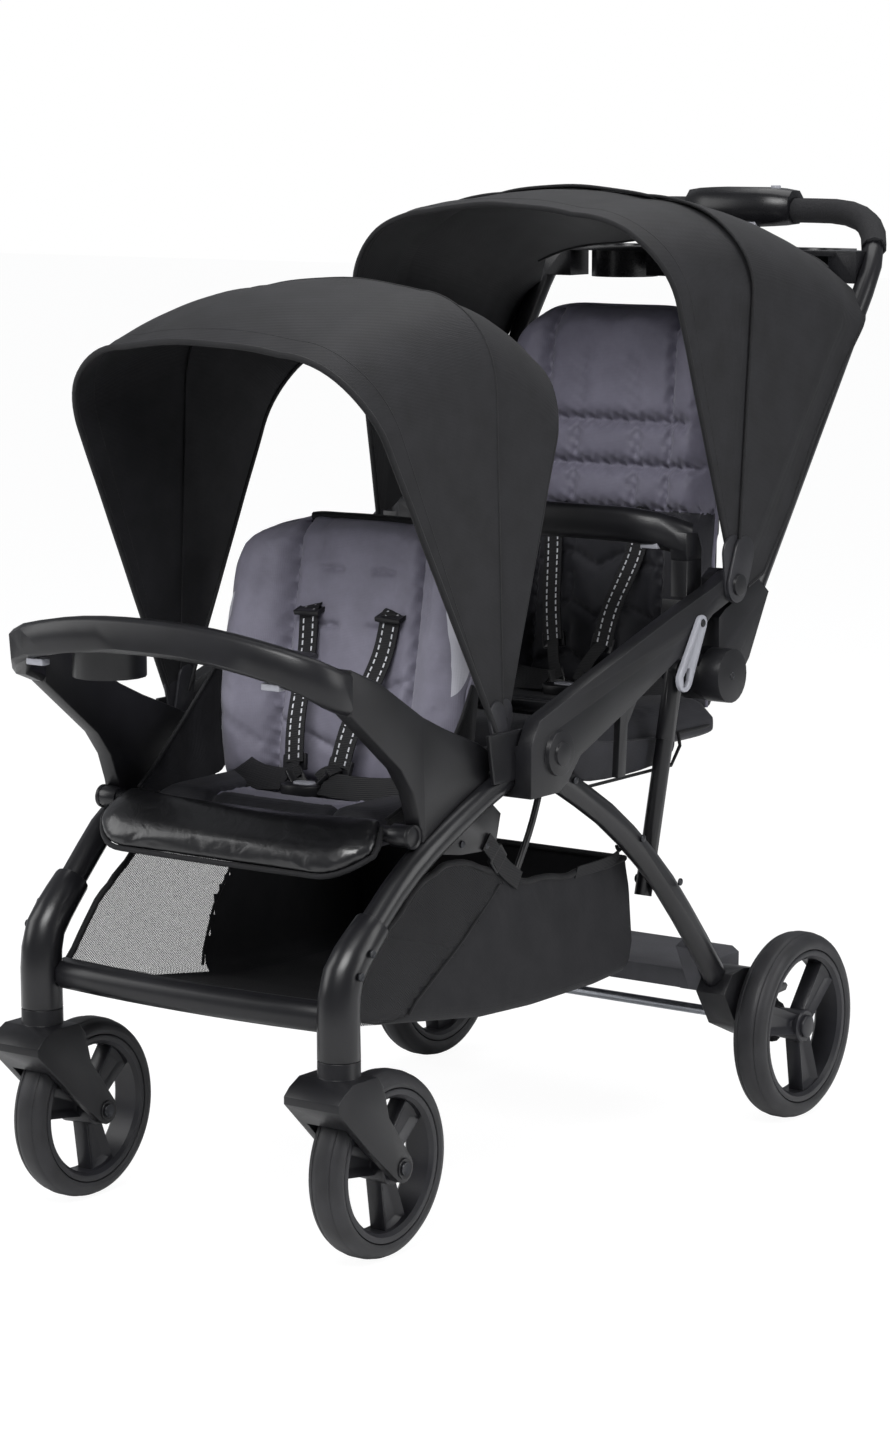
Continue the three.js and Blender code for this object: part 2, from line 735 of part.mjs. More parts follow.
addPair("side_rail", sideRail(), moulding);

// Fold hinge casting: a lug on the fold pivot, the seat of the upright, and the round disc

const UPRIGHT_ANGLE = Math.atan2(UPRIGHT_TOP.z - UPRIGHT_FOOT.z, UPRIGHT_TOP.y - UPRIGHT_FOOT.y);

function foldCasting() {
  const { inner, outer, lugOuter } = CASTING;
  const seatHalf = HANDLE.radius + 1.5;
  const seatPoint = (side) => [
    UPRIGHT_FOOT.y + side * seatHalf * Math.sin(UPRIGHT_ANGLE),
    UPRIGHT_FOOT.z - side * seatHalf * Math.cos(UPRIGHT_ANGLE),
  ];
  const bodyOutline = [
    [578, 592],
    [590, 600],
    seatPoint(-1),
    seatPoint(1),
    [643, 541],
    [615, 512],
    [582, 503],
    [552, 504],
    [540, 520],
    [542, 542],
    [578, 560],
  ];
  const lugOutline = [
    [588, 600],
    [586, 634],
    [602, 644],
    [618, 642],
    seatPoint(-1),
    [640, 592],
  ];
  const body = plate(bodyOutline, inner, outer);
  const lug = plate(lugOutline, inner, lugOuter);
  const railEye = bar(FOLD_PIVOT.lugRadius, lugOuter, outer + 1, FOLD_PIVOT, 16);
  const bore = bar(FOLD_PIVOT.pinRadius + RUNNING_GAP, inner - 1, outer + 1, FOLD_PIVOT, 16);
  const disc = bar(DISC.radius, DISC.inner, DISC.outer, LINK_PIVOT, 24);
  const pin = bar(LINK_PIVOT.pinRadius, STRUT.x + STRUT.radius + SIDE_GAP, inner + 1, LINK_PIVOT);
  return join(cut(join(body, lug), railEye, bore), disc, pin);
}

addPair("fold_hinge", foldCasting(), moulding);

// Seat release lever: a flat drop-shaped lever with a finger hole, hung on the rail

function releaseLever() {
  const { pivotY, pivotZ, loopY, loopZ, inner, outer, loopRadius } = LEVER;
  const pivot = { y: pivotY, z: pivotZ };
  const outline = [...arc(pivot, 9, -30, 150, 5), ...arc({ y: loopY, z: loopZ }, loopRadius, 160, 330, 7)];
  const fingerHole = [
    [loopY - 5, loopZ - 8],
    [loopY + 2, loopZ - 9],
    [loopY + 7, loopZ - 2],
    [loopY + 9, loopZ + 11],
    [loopY + 3, loopZ + 12],
    [loopY - 5, loopZ + 3],
  ];
  const bore = bar(4 + RUNNING_GAP, inner - 1, outer + 1, pivot, 12);
  return cut(plate(outline, inner, outer), plate(fingerHole, inner - 1, outer + 1), bore);
}

addPair("seat_release_lever", releaseLever(), lightPlastic);

// Handle: both uprights and the loop in one bent tube, with a foam sleeve and a console

// A point of the bend, inwards from the upright and part of the way back and up to the bar.
function bendPoint(inwards, back, up) {
  const y = UPRIGHT_TOP.y + back * (HANDLE.barY - UPRIGHT_TOP.y);
  const z = UPRIGHT_TOP.z + up * (HANDLE.barZ - UPRIGHT_TOP.z);
  return vec(HANDLE.x - inwards, y, z);
}

const HANDLE_BEND = [
  bendPoint(0, 0, 0),
  bendPoint(1, 0.179, 0.289),
  bendPoint(8, 0.368, 0.556),
  bendPoint(25, 0.604, 0.778),
  bendPoint(55, 0.84, 0.922),
  bendPoint(87, 0.962, 0.989),
  bendPoint(155, 1, 1),
];

function mirroredRoute(points) {
  const other = points.map((p) => vec(-p.x, p.y, p.z)).reverse();
  return [...points, ...other];
}

function handleTube(clearance) {
  const foot = vec(HANDLE.x, UPRIGHT_FOOT.y, UPRIGHT_FOOT.z);
  const along = vec(0, Math.cos(UPRIGHT_ANGLE), Math.sin(UPRIGHT_ANGLE));
  const start = foot.clone().addScaledVector(along, SEAT_GAP);
  const middle = foot.clone().addScaledVector(along, 200);
  const route = mirroredRoute([start, middle, ...HANDLE_BEND]);
  const radius = HANDLE.radius + clearance;
  return sweep(route, ellipse(radius, radius), 36, { up: vec(0, -0.6, 0.8) });
}

function handleGrip(clearance) {
  const radius = GRIP_RADIUS + clearance;
  const route = mirroredRoute(HANDLE_BEND.slice(2));
  return sweep(route, ellipse(radius, radius), 20, { up: vec(0, -0.6, 0.8) });
}

const tubeSpace = handleTube(SEAT_GAP);
add("handle_tube", handleTube(0), paintedTube);
add("handle_grip", cut(handleGrip(0), tubeSpace), foam);

function consoleBody() {
  const { halfLength, y, z, depth, height } = CONSOLE;
  const stations = [
    [-halfLength, 3, 0.7, 0.84],
    [-halfLength * 0.72, 1, 0.9, 0.95],
    [-halfLength * 0.45, 0, 1, 1],
    [halfLength * 0.45, 0, 1, 1],
    [halfLength * 0.72, 1, 0.9, 0.95],
    [halfLength, 3, 0.7, 0.84],
  ];
  return loft(
    stations.map(([x, back, across, up]) =>
      roundedSection(depth * across, height * up, 10).map(([a, b]) => vec(x, y + back + a, z + b)),
    ),
  );
}

const triggerPlace = {
  front: CONSOLE.y - TRIGGER.rearGap - TRIGGER.depth,
  rear: CONSOLE.y - TRIGGER.rearGap,
  bottom: CONSOLE.z - TRIGGER.topDrop - TRIGGER.height,
  top: CONSOLE.z - TRIGGER.topDrop,
};
const lockButtonTop = CONSOLE.z + CONSOLE.height / 2 + LOCK_BUTTON.proud;

function handleConsole() {
  const { halfLength, travel } = TRIGGER;
  const { front, rear, bottom, top } = triggerPlace;
  const wide = halfLength + SEAT_GAP;
  const slotTop = top + travel + SEAT_GAP;
  const slot = block(-wide, wide, front - SEAT_GAP, rear + SEAT_GAP, bottom - 20, slotTop);
  const { x, radius, height, travel: press } = LOCK_BUTTON;
  const wellBottom = lockButtonTop - height - press - SEAT_GAP;
  const well = post(radius + SEAT_GAP, x, CONSOLE.y, wellBottom, CONSOLE.z + CONSOLE.height);
  return cut(consoleBody(), handleGrip(SEAT_GAP), slot, well);
}

function foldTrigger() {
  const { halfLength } = TRIGGER;
  const { front, rear, bottom, top } = triggerPlace;
  const outline = [
    [-halfLength, top],
    [-halfLength, bottom + 8],
    [-halfLength + 8, bottom],
    [halfLength - 8, bottom],
    [halfLength, bottom + 8],
    [halfLength, top],
  ];
  const depth = rear - front;
  const geometry = new THREE.ExtrudeGeometry(outlineShape(outline), { depth, bevelEnabled: false });
  geometry.rotateX(Math.PI / 2);
  return solid(geometry.translate(0, rear, 0));
}

add("handle_console", handleConsole(), moulding);
add("fold_trigger", foldTrigger(), lightPlastic);
const lockButtonBottom = lockButtonTop - LOCK_BUTTON.height;
const lockButton = post(LOCK_BUTTON.radius, LOCK_BUTTON.x, CONSOLE.y, lockButtonBottom, lockButtonTop);
add("lock_button", lockButton, lightPlastic);

// Parent tray: a plate with two cups and a bin, held between the uprights

function parentTray() {
  const { halfWidth, front, depth, top, plate: thickness, wall } = PARENT_TRAY;
  const rear = front + depth;
  const corner = 24;
  const plan = [
    [-halfWidth, front],
    [halfWidth, front],
    [halfWidth, rear - 2 * corner],
    [halfWidth - corner, rear],
    [corner - halfWidth, rear],
    [-halfWidth, rear - 2 * corner],
  ];
  const bin = PARENT_BIN;
  const binBlock = (inset, z0, z1) =>
    block(
      inset - bin.halfWidth,
      bin.halfWidth - inset,
      front + bin.inset + inset,
      rear - bin.inset - inset,
      z0,
      z1,
    );
  const cup = PARENT_CUP;
  const cups = (inset, z0, z1) => withMirror(post(cup.radius - inset, cup.x, cup.y, z0, z1));
  const outside = join(
    slab(plan, top - thickness, top),
    binBlock(0, bin.bottom, top - 1),
    cups(0, cup.bottom, top - 1),
  );
  const binSpace = binBlock(wall, bin.bottom + wall, top + 1);
  const hollow = cut(outside, binSpace, cups(wall, cup.bottom + wall, top + 1));
  const { inset, depth: lugDepth, drop } = PARENT_LUG;
  const lug = block(halfWidth - 10, HANDLE.x - 8, front + inset, front + inset + lugDepth, top - drop, top);
  return cut(join(hollow, lug, mirrorImage(lug)), tubeSpace, handleGrip(SEAT_GAP));
}

add("parent_tray", parentTray(), moulding);

// Front tray: two arms on the legs and, between them, the bar with its deck and cup

function trayArm() {
  const outline = [
    [TRAY_ARM.partingY, 607],
    [-10, 588],
    [62, 545],
    [100, 528],
    [160, 505],
    [TRAY_ARM.rear, 495],
    [TRAY_ARM.rear, 462],
    [110, 436],
    [62, 412],
    [56, 440],
    [45, 470],
    [25, 496],
    [-20, 531],
    [TRAY_ARM.partingY, 561],
  ];
  const { bossRadius, bossInner, bossOuter } = CALF_TUBE;
  const boss = bar(bossRadius + SEAT_GAP, bossInner - 1, bossOuter + 5, CALF_TUBE);
  return cut(plate(outline, TRAY_ARM.inner, TRAY_ARM.outer), legSocket, boss);
}

addPair("front_tray_arm", trayArm(), moulding);

// A squeeze clip under a bar, in a pocket that lets it travel upwards.
function clipBody({ x, y, bottom }) {
  const { length, width, height } = CLIP;
  return block(x - length / 2, x + length / 2, y - width / 2, y + width / 2, bottom, bottom + height);
}

function clipPocket({ x, y, bottom }) {
  const wide = CLIP.length / 2 + SEAT_GAP;
  const deep = CLIP.width / 2 + SEAT_GAP;
  const top = bottom + CLIP.height + CLIP.travel + SEAT_GAP;
  return block(x - wide, x + wide, y - deep, y + deep, bottom - 20, top);
}

const TRAY_BAR_X = (TRAY_ARM.inner + TRAY_ARM.outer) / 2;
const TRAY_BAR_BEND = [
  vec(TRAY_BAR_X, TRAY_ARM.partingY + 6, TRAY_BAR.endZ - 2),
  vec(TRAY_BAR_X, -80, 591),
  vec(182, -101, 605),
  vec(130, -115, 619),
  vec(60, TRAY_BAR.y, TRAY_BAR.z),
];

function frontTray() {
  const { height, thickness } = TRAY_BAR;
  const scaleAt = (t) => 1 + 0.22 * Math.abs(2 * t - 1) ** 6;
  const band = sweep(mirroredRoute(TRAY_BAR_BEND), roundedSection(thickness, height, 5), 18, { scaleAt });
  const { z, thickness: deckThickness, rear, halfWidth } = TRAY_DECK;
  const plan = [
    [-halfWidth, -104],
    [-100, -116],
    [100, -116],
    [halfWidth, -104],
    [halfWidth - 20, rear - 8],
    [halfWidth - 70, rear],
    [70 - halfWidth, rear],
    [20 - halfWidth, rear - 8],
  ];
  const deck = slab(plan, z, z + deckThickness);
  const { x, y, radius, bottom, wall } = TRAY_CUP;
  const cup = post(radius, x, y, bottom, z + 1);
  const well = post(radius - wall, x, y, bottom + wall, z + 20);
  const pocket = clipPocket(TRAY_CLIP);
  const parting = TRAY_ARM.partingY - SEAT_GAP;
  const armSpace = block(halfWidth + 10, TRAY_ARM.outer + 10, parting, 0, z - 2 * height, z + height);
  return cut(join(band, deck, cup), well, pocket, mirrorImage(pocket), armSpace, mirrorImage(armSpace));
}

add("front_tray", frontTray(), moulding);
addPair("front_tray_clip", clipBody(TRAY_CLIP), lightPlastic);

// Rear child bar: a bowed grab bar that stands on the two rail mounts

const BAR_DROP = 4;
const BAR_CLIP = {
  x: 164,
  y: REAR_BAR.y + 8,
  bottom: REAR_BAR.z - BAR_DROP - REAR_BAR.height / 2 - CLIP.proud + 2,
};

function rearBar() {
  const { height, thickness, y, z, endX, partingZ } = REAR_BAR;
  const bend = [
    vec(endX, y + 31, z - 15),
    vec(endX - 8, y + 21, z - 10),
    vec(endX - 24, y + 10, z - BAR_DROP),
    vec(endX - 60, y + 3, z),
    vec(60, y + 1, z),
  ];
  const grab = sweep(mirroredRoute(bend), roundedSection(thickness, height, 7), 12);
  const { inner, outer, front, rear } = BAR_MOUNT;
  const foot = [
    [front, partingZ + SEAT_GAP],
    [rear, partingZ + SEAT_GAP],
    [rear, z - 26],
    [rear - 8, z - 8],
    [front - 2, z - 6],
    [front - 2, z - 26],
  ];
  const feet = withMirror(plate(foot, inner, outer));
  return cut(join(grab, feet), clipPocket(BAR_CLIP));
}

add("rear_bar", rearBar(), moulding);
add("rear_bar_clip", clipBody(BAR_CLIP), lightPlastic);

// Seat cross tubes: one at the calf rest's hinge, one between the gusset plates

function calfTube() {
  const { radius, bossRadius, bossInner, bossOuter } = CALF_TUBE;
  const tube = bar(radius, -bossInner - 1, bossInner + 1, CALF_TUBE);
  const boss = bar(bossRadius, bossInner, bossOuter, CALF_TUBE);
  return cut(join(tube, boss, mirrorImage(boss)), legSocket, mirrorImage(legSocket));
}

add("calf_rest_tube", calfTube(), paintedTube);

function gussetFrame() {
  const { inner, outer, tubeY, tubeZ, tubeRadius } = GUSSET;
  const outline = [
    [100, 404],
    [118, 394],
    [154, 388],
    [206, 385],
    [216, 392],
    [224, 421],
    [209, 433],
    [203, 440],
    [160, 436],
    [110, 415],
  ];
  const tube = bar(tubeRadius, -inner - 1, inner + 1, { y: tubeY, z: tubeZ });
  const boss = bar(GUSSET_BOSS.radius, inner, GUSSET_BOSS.end, GUSSET_BOSS);
  const side = cut(join(plate(outline, inner, outer), boss), legSocket);
  return join(tube, withMirror(side));
}

add("gusset_frame", gussetFrame(), paintedTube);

// Buckles: a rounded body with a webbing stem below it and a button in its top

function roundedPlan(width, depth, corner, x, y) {
  return roundedSection(width, depth, corner).map(([a, b]) => [x + a, y + b]);
}

function buckleSpace({ y, z }, clearance) {
  const { width, depth, height, corner, stemWidth, stem } = BUCKLE;
  const g = 2 * clearance;
  const body = slab(roundedPlan(width + g, depth + g, corner, 0, y), z - clearance, z + height);
  const tail = slab(roundedPlan(stemWidth + g, 6 + g, 2, 0, y), z - stem - clearance, z + 1);
  return join(body, tail);
}

function buckle(place) {
  const { width, depth, height, corner, proud, travel } = BUTTON;
  const top = place.z + BUCKLE.height;
  const bottom = top + proud - height - travel - SEAT_GAP;
  const g = 2 * SEAT_GAP;
  const well = slab(roundedPlan(width + g, depth + g, corner, 0, place.y), bottom, top + 5);
  return cut(buckleSpace(place, 0), well);
}

function buckleButton(place) {
  const { width, depth, height, corner, proud } = BUTTON;
  const top = place.z + BUCKLE.height + proud;
  return slab(roundedPlan(width, depth, corner, 0, place.y), top - height, top);
}

add("front_buckle", buckle(FRONT_BUCKLE), moulding);
add("front_buckle_button", buckleButton(FRONT_BUCKLE), lightPlastic);
add("rear_buckle", buckle(REAR_BUCKLE), moulding);
add("rear_buckle_button", buckleButton(REAR_BUCKLE), lightPlastic);

// Front seat: a cushion on its board, a padded calf rest in front, a padded back behind

function frontPan() {
  const { halfWidth, front, rear, top, base, baseThickness } = FRONT_PAN;
  const boardRear = GUSSET.tubeY + GUSSET.tubeRadius / 2;
  const board = block(-halfWidth + 6, halfWidth - 6, front + 4, boardRear, base, base + baseThickness);
  const cushion = pad({
    origin: vec(0, front, base + baseThickness - 1),
    along: vec(0, 1, 0),
    width: 2 * halfWidth,
    length: rear - front,
    thickness: top - base - baseThickness + 1,
    rows: 8,
  });
  return cut(join(board, cushion), buckleSpace(FRONT_BUCKLE, SEAT_GAP));
}

add("front_seat_pan", frontPan(), seatCloth);

function calfRest() {
  const { halfWidth, front } = CALF_REST;
  const outline = [
    [front, 390],
    [front + 2, 400],
    [6, 411],
    [30, 425],
    [44, 437],
    [54, 438],
    [61, 430],
    [60, 418],
    [40, 411],
    [20, 402],
    [2, 386],
    [front + 6, 381],
  ];
  const part = 1 / outline.length;
  const [midY, midZ] = outline.reduce(([a, b], [y, z]) => [a + y * part, b + z * part], [0, 0]);
  const stations = [-1, -0.97, -0.85, 0.85, 0.97, 1];
  const shrink = [0.72, 0.9, 1, 1, 0.9, 0.72];
  const rings = stations.map((share, i) =>
    outline.map(([y, z]) =>
      vec(share * halfWidth, midY + (y - midY) * shrink[i], midZ + (z - midZ) * shrink[i]),
    ),
  );
  const tube = bar(CALF_TUBE.radius + RUNNING_GAP, -halfWidth - 5, halfWidth + 5, CALF_TUBE);
  return cut(loft(rings), tube);
}

add("calf_rest", calfRest(), darkCloth);

function seatBack({ y, z, tube, width, length, lean, thickness }, tubeHalf, channels) {
  const tilt = radians(lean);
  const along = vec(0, Math.sin(tilt), Math.cos(tilt));
  const back = vec(0, Math.cos(tilt), -Math.sin(tilt));
  const board = 5;
  const hinge = vec(0, y, z);
  const foot = hinge.clone().addScaledVector(along, tube).addScaledVector(back, board);
  const padded = pad({ origin: foot, along, width, length: length - tube, thickness, channels });
  const coreTop = hinge.clone().addScaledVector(along, length * 0.8);
  const core = sweep([hinge, coreTop], roundedSection(width * 0.7, board, 1), 1, { up: back });
  return join(padded, bar(tube, -tubeHalf, tubeHalf, { y, z }), core);
}

add("front_seat_back", seatBack(FRONT_BACK, GUSSET.inner - SIDE_GAP, [0.36, 0.68]), seatCloth);

// Rear seat: a board with side panels hung from a tube between the rails, a cushion and a back

function rearPan() {
  const { halfWidth, front, rear, base, baseThickness, top } = REAR_PAN;
  const board = block(-halfWidth, halfWidth, front, rear, base, base + baseThickness);
  const panelOutline = [
    [REAR_PANEL.front, REAR_PANEL.bottom],
    [REAR_PANEL.rear - 20, REAR_PANEL.bottom],
    [REAR_PANEL.rear, base + 1],
    [REAR_PANEL.front + 24, base + baseThickness],
    [REAR_PAN_TUBE.y + 8, REAR_PAN_TUBE.z],
    [REAR_PAN_TUBE.y - 8, REAR_PAN_TUBE.z],
    [REAR_PANEL.front - 12, base],
  ];
  const panel = plate(panelOutline, halfWidth - REAR_PANEL.thickness, halfWidth);
  const tubeEnd = RAIL.inner - SEAT_GAP;
  const tube = bar(REAR_PAN_TUBE.radius, -tubeEnd, tubeEnd, REAR_PAN_TUBE);
  const cushion = pad({
    origin: vec(0, front + 4, base + baseThickness - 1),
    along: vec(0, 1, 0),
    width: 2 * (halfWidth - 8),
    length: rear - front - 8,
    thickness: top - base - baseThickness + 1,
    channels: [0.45],
  });
  return cut(join(board, withMirror(panel), tube, cushion), buckleSpace(REAR_BUCKLE, SEAT_GAP));
}

add("rear_seat_pan", rearPan(), rearSeatCloth);
add("rear_seat_back", seatBack(REAR_BACK, 150, [0.34, 0.47, 0.6]), rearSeatCloth);

// Canopies: cloth arches over a pivot on each side, their bows at given angles

// One arch as [x, radius] points, offset outwards by a distance. Its sides lean
// inwards by the inset on their way up to the round corners.
function arch(canopy, radius, offset, inset) {
  const side = canopy.halfWidth + offset;
  const shoulder = side - inset;
  const flat = CANOPY_FLAT_HALF_WIDTH;
  const cornerBase = radius - CANOPY_CROWN - CANOPY_CORNER;
  const half = [
    [side, CANOPY_TIP],
    [(side + shoulder) / 2, (CANOPY_TIP + cornerBase) / 2],
  ];
  const cornerSteps = 4;
  for (let i = 0; i <= cornerSteps; i++) {
    const angle = (Math.PI / 2) * (i / cornerSteps);
    const x = flat + (shoulder - flat) * Math.cos(angle);
    half.push([x, cornerBase + (CANOPY_CORNER + offset) * Math.sin(angle)]);
  }
  half.push([flat / 2, radius - CANOPY_CROWN / 4 + offset]);
  const other = half.map(([x, r]) => [-x, r]).reverse();
  return [...half, [0, radius + offset], ...other];
}

// The bows' angles from one to another, in even steps.
function bows(from, to, steps) {
  return Array.from({ length: steps + 1 }, (_, i) => from + ((to - from) * i) / steps);
}

// How far a bow's sides lean in: all of the front canopy's alike, the rear visor's
// more and more from its seam to its lip.
const frontInset = () => FRONT_CANOPY.lipInset;
const rearInset = (degrees) => {
  const { seam, lip, lipInset } = REAR_CANOPY;
  return lipInset * Math.max(0, (degrees - seam) / (lip - seam));
};

// The cloth over a row of bows; radiusAt gives the arch's height for each angle.
function canopySkin(canopy, angles, radiusAt, offset) {
  const insetAt = canopy === FRONT_CANOPY ? frontInset : rearInset;
  const row = (degrees, distance) =>
    arch(canopy, radiusAt(degrees), distance, insetAt(degrees)).map(([x, r]) =>
      vec(x, canopy.y + r * Math.cos(radians(degrees)), canopy.z + r * Math.sin(radians(degrees))),
    );
  const grid = (distance) => angles.map((degrees) => row(degrees, distance));
  return skin(grid(offset + CLOTH), grid(offset));
}

// The side tab that reaches from the cloth's tip down round the pivot pin.
function canopyTabs(canopy, from, to, offset) {
  const ringRadius = canopy.pinRadius + 9;
  const head = arc(canopy, CANOPY_TIP + 4, from + 1, to - 1, 4);
  const outline = [...head, ...arc(canopy, ringRadius, to + 40, from + 320, 7)];
  const inner = canopy.halfWidth + offset;
  const bore = bar(canopy.pinRadius + RUNNING_GAP, inner - 1, inner + CLOTH + 1, canopy, 16);
  return withMirror(cut(plate(outline, inner, inner + CLOTH), bore));
}

function canopyPiece(canopy, angles, offset, radiusAt = () => canopy.radius) {
  const tabs = canopyTabs(canopy, angles[0], angles[angles.length - 1], offset);
  return join(canopySkin(canopy, angles, radiusAt, offset), tabs);
}

const OUTER_OFFSET = CLOTH + SIDE_GAP;
const LAP = 3;

// The front hood falls a little towards the back.
function frontHood() {
  const { rear, seam, radius, rearDrop } = FRONT_CANOPY;
  const radiusAt = (degrees) => radius - rearDrop * Math.max(0, (seam - degrees) / (seam - rear)) ** 1.5;
  return canopyPiece(FRONT_CANOPY, [...bows(rear, seam, 3), seam + LAP], 0, radiusAt);
}

function frontVisor() {
  const { seam, lip } = FRONT_CANOPY;
  return canopyPiece(FRONT_CANOPY, [seam, ...bows(seam + LAP, lip, 3)], OUTER_OFFSET);
}

// The rear hood grows taller towards the back, where it meets the parent tray,
// and its sides run on past the uprights.
function rearHood() {
  const { rear, seam, radius, halfWidth } = REAR_CANOPY;
  const radiusAt = (degrees) => radius + REAR_HOOD_GROWTH * ((seam - degrees) / (seam - rear)) ** 2;
  const inner = halfWidth + OUTER_OFFSET;
  const wing = [
    [636, 612],
    [690, 612],
    [919, 927],
    [912, 958],
    [850, 966],
    [634, 676],
  ];
  const roof = canopyPiece(REAR_CANOPY, [...bows(rear, seam - LAP, 3), seam], OUTER_OFFSET, radiusAt);
  return join(roof, withMirror(plate(wing, inner, inner + CLOTH)));
}

function rearVisor() {
  const { seam, lip } = REAR_CANOPY;
  return canopyPiece(REAR_CANOPY, [seam - LAP, ...bows(seam, lip, 3)], 0);
}

add("front_canopy_hood", frontHood(), canopyCloth);
add("front_canopy_visor", frontVisor(), canopyCloth);
add("rear_canopy_hood", rearHood(), canopyCloth);
add("rear_canopy_visor", rearVisor(), canopyCloth);

// Basket: one cloth tub between the legs, open at the top and low at the front

function basket() {
  const { halfWidth, wall, front } = BASKET;
  const outline = [
    [front, 262],
    [20, 318],
    [70, 350],
    [140, 355],
    [230, 346],
    [330, 338],
    [469, 334],
    [488, 238],
    [477, 200],
    [423, 196],
    [304, 197],
    [210, 202],
    [95, 219],
    [front, 238],
  ];
  const inside = [
    [front + wall, 400],
    [469 - wall, 400],
    [469 - wall, 334],
    [488 - wall, 238],
    [477 - wall, 200 + wall],
    [423, 196 + wall],
    [304, 197 + wall],
    [210, 202 + wall],
    [95, 219 + wall],
    [front + wall, 238 + wall],
  ];
  return cut(plate(outline, -halfWidth, halfWidth), plate(inside, wall - halfWidth, halfWidth - wall));
}

add("basket", basket(), basketCloth);

// The origin moves to the ground under the middle of the stroller's length

const box = new THREE.Box3().setFromObject(stroller);
stroller.position.y = -(box.min.y + box.max.y) / 2;

export default group;
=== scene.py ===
# %% [markdown]
# # A sit and stand stroller, dressed piece by piece
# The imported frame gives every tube, hinge and wheel its true place. Each cell below either
# finishes one of those parts or replaces a plain stand-in with a detailed piece.
# Everything is in metres; drawings of this stroller are in millimetres from the front axle,
# so one helper turns those numbers into places in the scene.

# %% Load the frame and keep its outer box
import json
import math

import bmesh
import bpy
import numpy as np
from mathutils import Matrix, Vector

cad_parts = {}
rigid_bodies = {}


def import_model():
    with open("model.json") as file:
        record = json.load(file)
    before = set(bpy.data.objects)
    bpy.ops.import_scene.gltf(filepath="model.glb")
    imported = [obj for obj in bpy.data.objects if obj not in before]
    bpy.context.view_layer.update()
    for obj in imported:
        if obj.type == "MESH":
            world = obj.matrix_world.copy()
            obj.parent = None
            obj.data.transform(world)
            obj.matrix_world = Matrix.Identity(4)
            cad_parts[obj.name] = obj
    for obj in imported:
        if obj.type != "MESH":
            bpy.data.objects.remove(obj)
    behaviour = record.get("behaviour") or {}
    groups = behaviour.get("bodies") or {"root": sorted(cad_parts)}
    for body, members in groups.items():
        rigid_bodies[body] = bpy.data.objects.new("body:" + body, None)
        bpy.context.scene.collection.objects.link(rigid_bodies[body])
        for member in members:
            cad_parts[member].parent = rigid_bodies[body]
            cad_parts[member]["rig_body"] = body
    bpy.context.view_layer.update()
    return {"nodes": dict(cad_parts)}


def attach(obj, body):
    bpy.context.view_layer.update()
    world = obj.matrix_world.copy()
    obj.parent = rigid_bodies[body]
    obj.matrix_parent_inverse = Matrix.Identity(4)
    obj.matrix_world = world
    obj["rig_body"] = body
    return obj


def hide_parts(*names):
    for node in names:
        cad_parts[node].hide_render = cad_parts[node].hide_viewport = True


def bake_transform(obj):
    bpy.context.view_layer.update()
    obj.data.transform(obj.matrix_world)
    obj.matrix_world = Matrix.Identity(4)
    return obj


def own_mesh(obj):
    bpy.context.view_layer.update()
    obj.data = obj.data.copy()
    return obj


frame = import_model()
NODES = frame["nodes"]
SHIFT_Y = 452.448
SIDES = (("left", 1), ("right", -1))


def at(x, y, z):
    return Vector((x / 1000, (y - SHIFT_Y) / 1000, z / 1000))


bpy.ops.object.select_all(action="DESELECT")
print("nodes in the frame:", len(NODES))

# %% [markdown]
# Colours are written as they look on a screen, in sRGB hex. Shaders need linear values, so
# one function turns them. Another adds a node, sets its sockets and links them in one call.

# %% Colour and node helpers
def linear(code):
    parts = [int(code[i : i + 2], 16) / 255 for i in (0, 2, 4)]
    return [c / 12.92 if c <= 0.04045 else ((c + 0.055) / 1.055) ** 2.4 for c in parts] + [1.0]


def add_node(tree, kind, sockets, to=None, **settings):
    """Sockets take a value, or a node or socket to link from; to is what the result feeds."""
    made = tree.nodes.new("ShaderNode" + kind)
    for key, value in settings.items():
        setattr(made, key, value)
    for key, value in sockets.items():
        if isinstance(value, bpy.types.Node):
            value = value.outputs[0]
        if isinstance(value, bpy.types.NodeSocket):
            tree.links.new(value, made.inputs[key])
        else:
            made.inputs[key].default_value = value
    if to is not None:
        tree.links.new(made.outputs[0], to)
    return made


def new_finish(name, colour, roughness, **sockets):
    """A Principled material, its tree, the shader's sockets and each point's place."""
    material = bpy.data.materials.new(name)
    material.use_nodes = True
    tree = material.node_tree
    into = tree.nodes["Principled BSDF"].inputs
    into["Base Color"].default_value = linear(colour)
    into["Roughness"].default_value = roughness
    for key, value in sockets.items():
        into[key.replace("_", " ")].default_value = value
    return material, tree, into, add_node(tree, "TexCoord", {}).outputs["Object"]


def two_tone(tree, into, factor, low, high, start=0.3, end=0.7):
    ramp = add_node(tree, "ValToRGB", {"Fac": factor}, into["Base Color"]).color_ramp
    for stop, position, colour in zip(ramp.elements, (start, end), (low, high)):
        stop.position, stop.color = position, linear(colour)


# %% [markdown]
# Powder-coated steel tube: paint baked from powder, satin, with a faint orange peel whose
# bumps are about 2 mm across. The peel breaks up highlights without hiding them.

# %% Powder-coated steel, satin black
painted_tube, tree, into, place = new_finish(
    "powder coated steel, satin black", "101012", 0.3, IOR=1.5, Specular_IOR_Level=0.4
)
wide = add_node(tree, "TexNoise", {"Vector": place, "Scale": 14.0, "Detail": 3.0})
two_tone(tree, into, wide, "101012", "18181b")
peel = add_node(tree, "TexNoise", {"Vector": place, "Scale": 420.0, "Detail": 2.0})
add_node(tree, "Bump", {"Height": peel, "Strength": 0.08, "Distance": 0.0006}, into["Normal"])

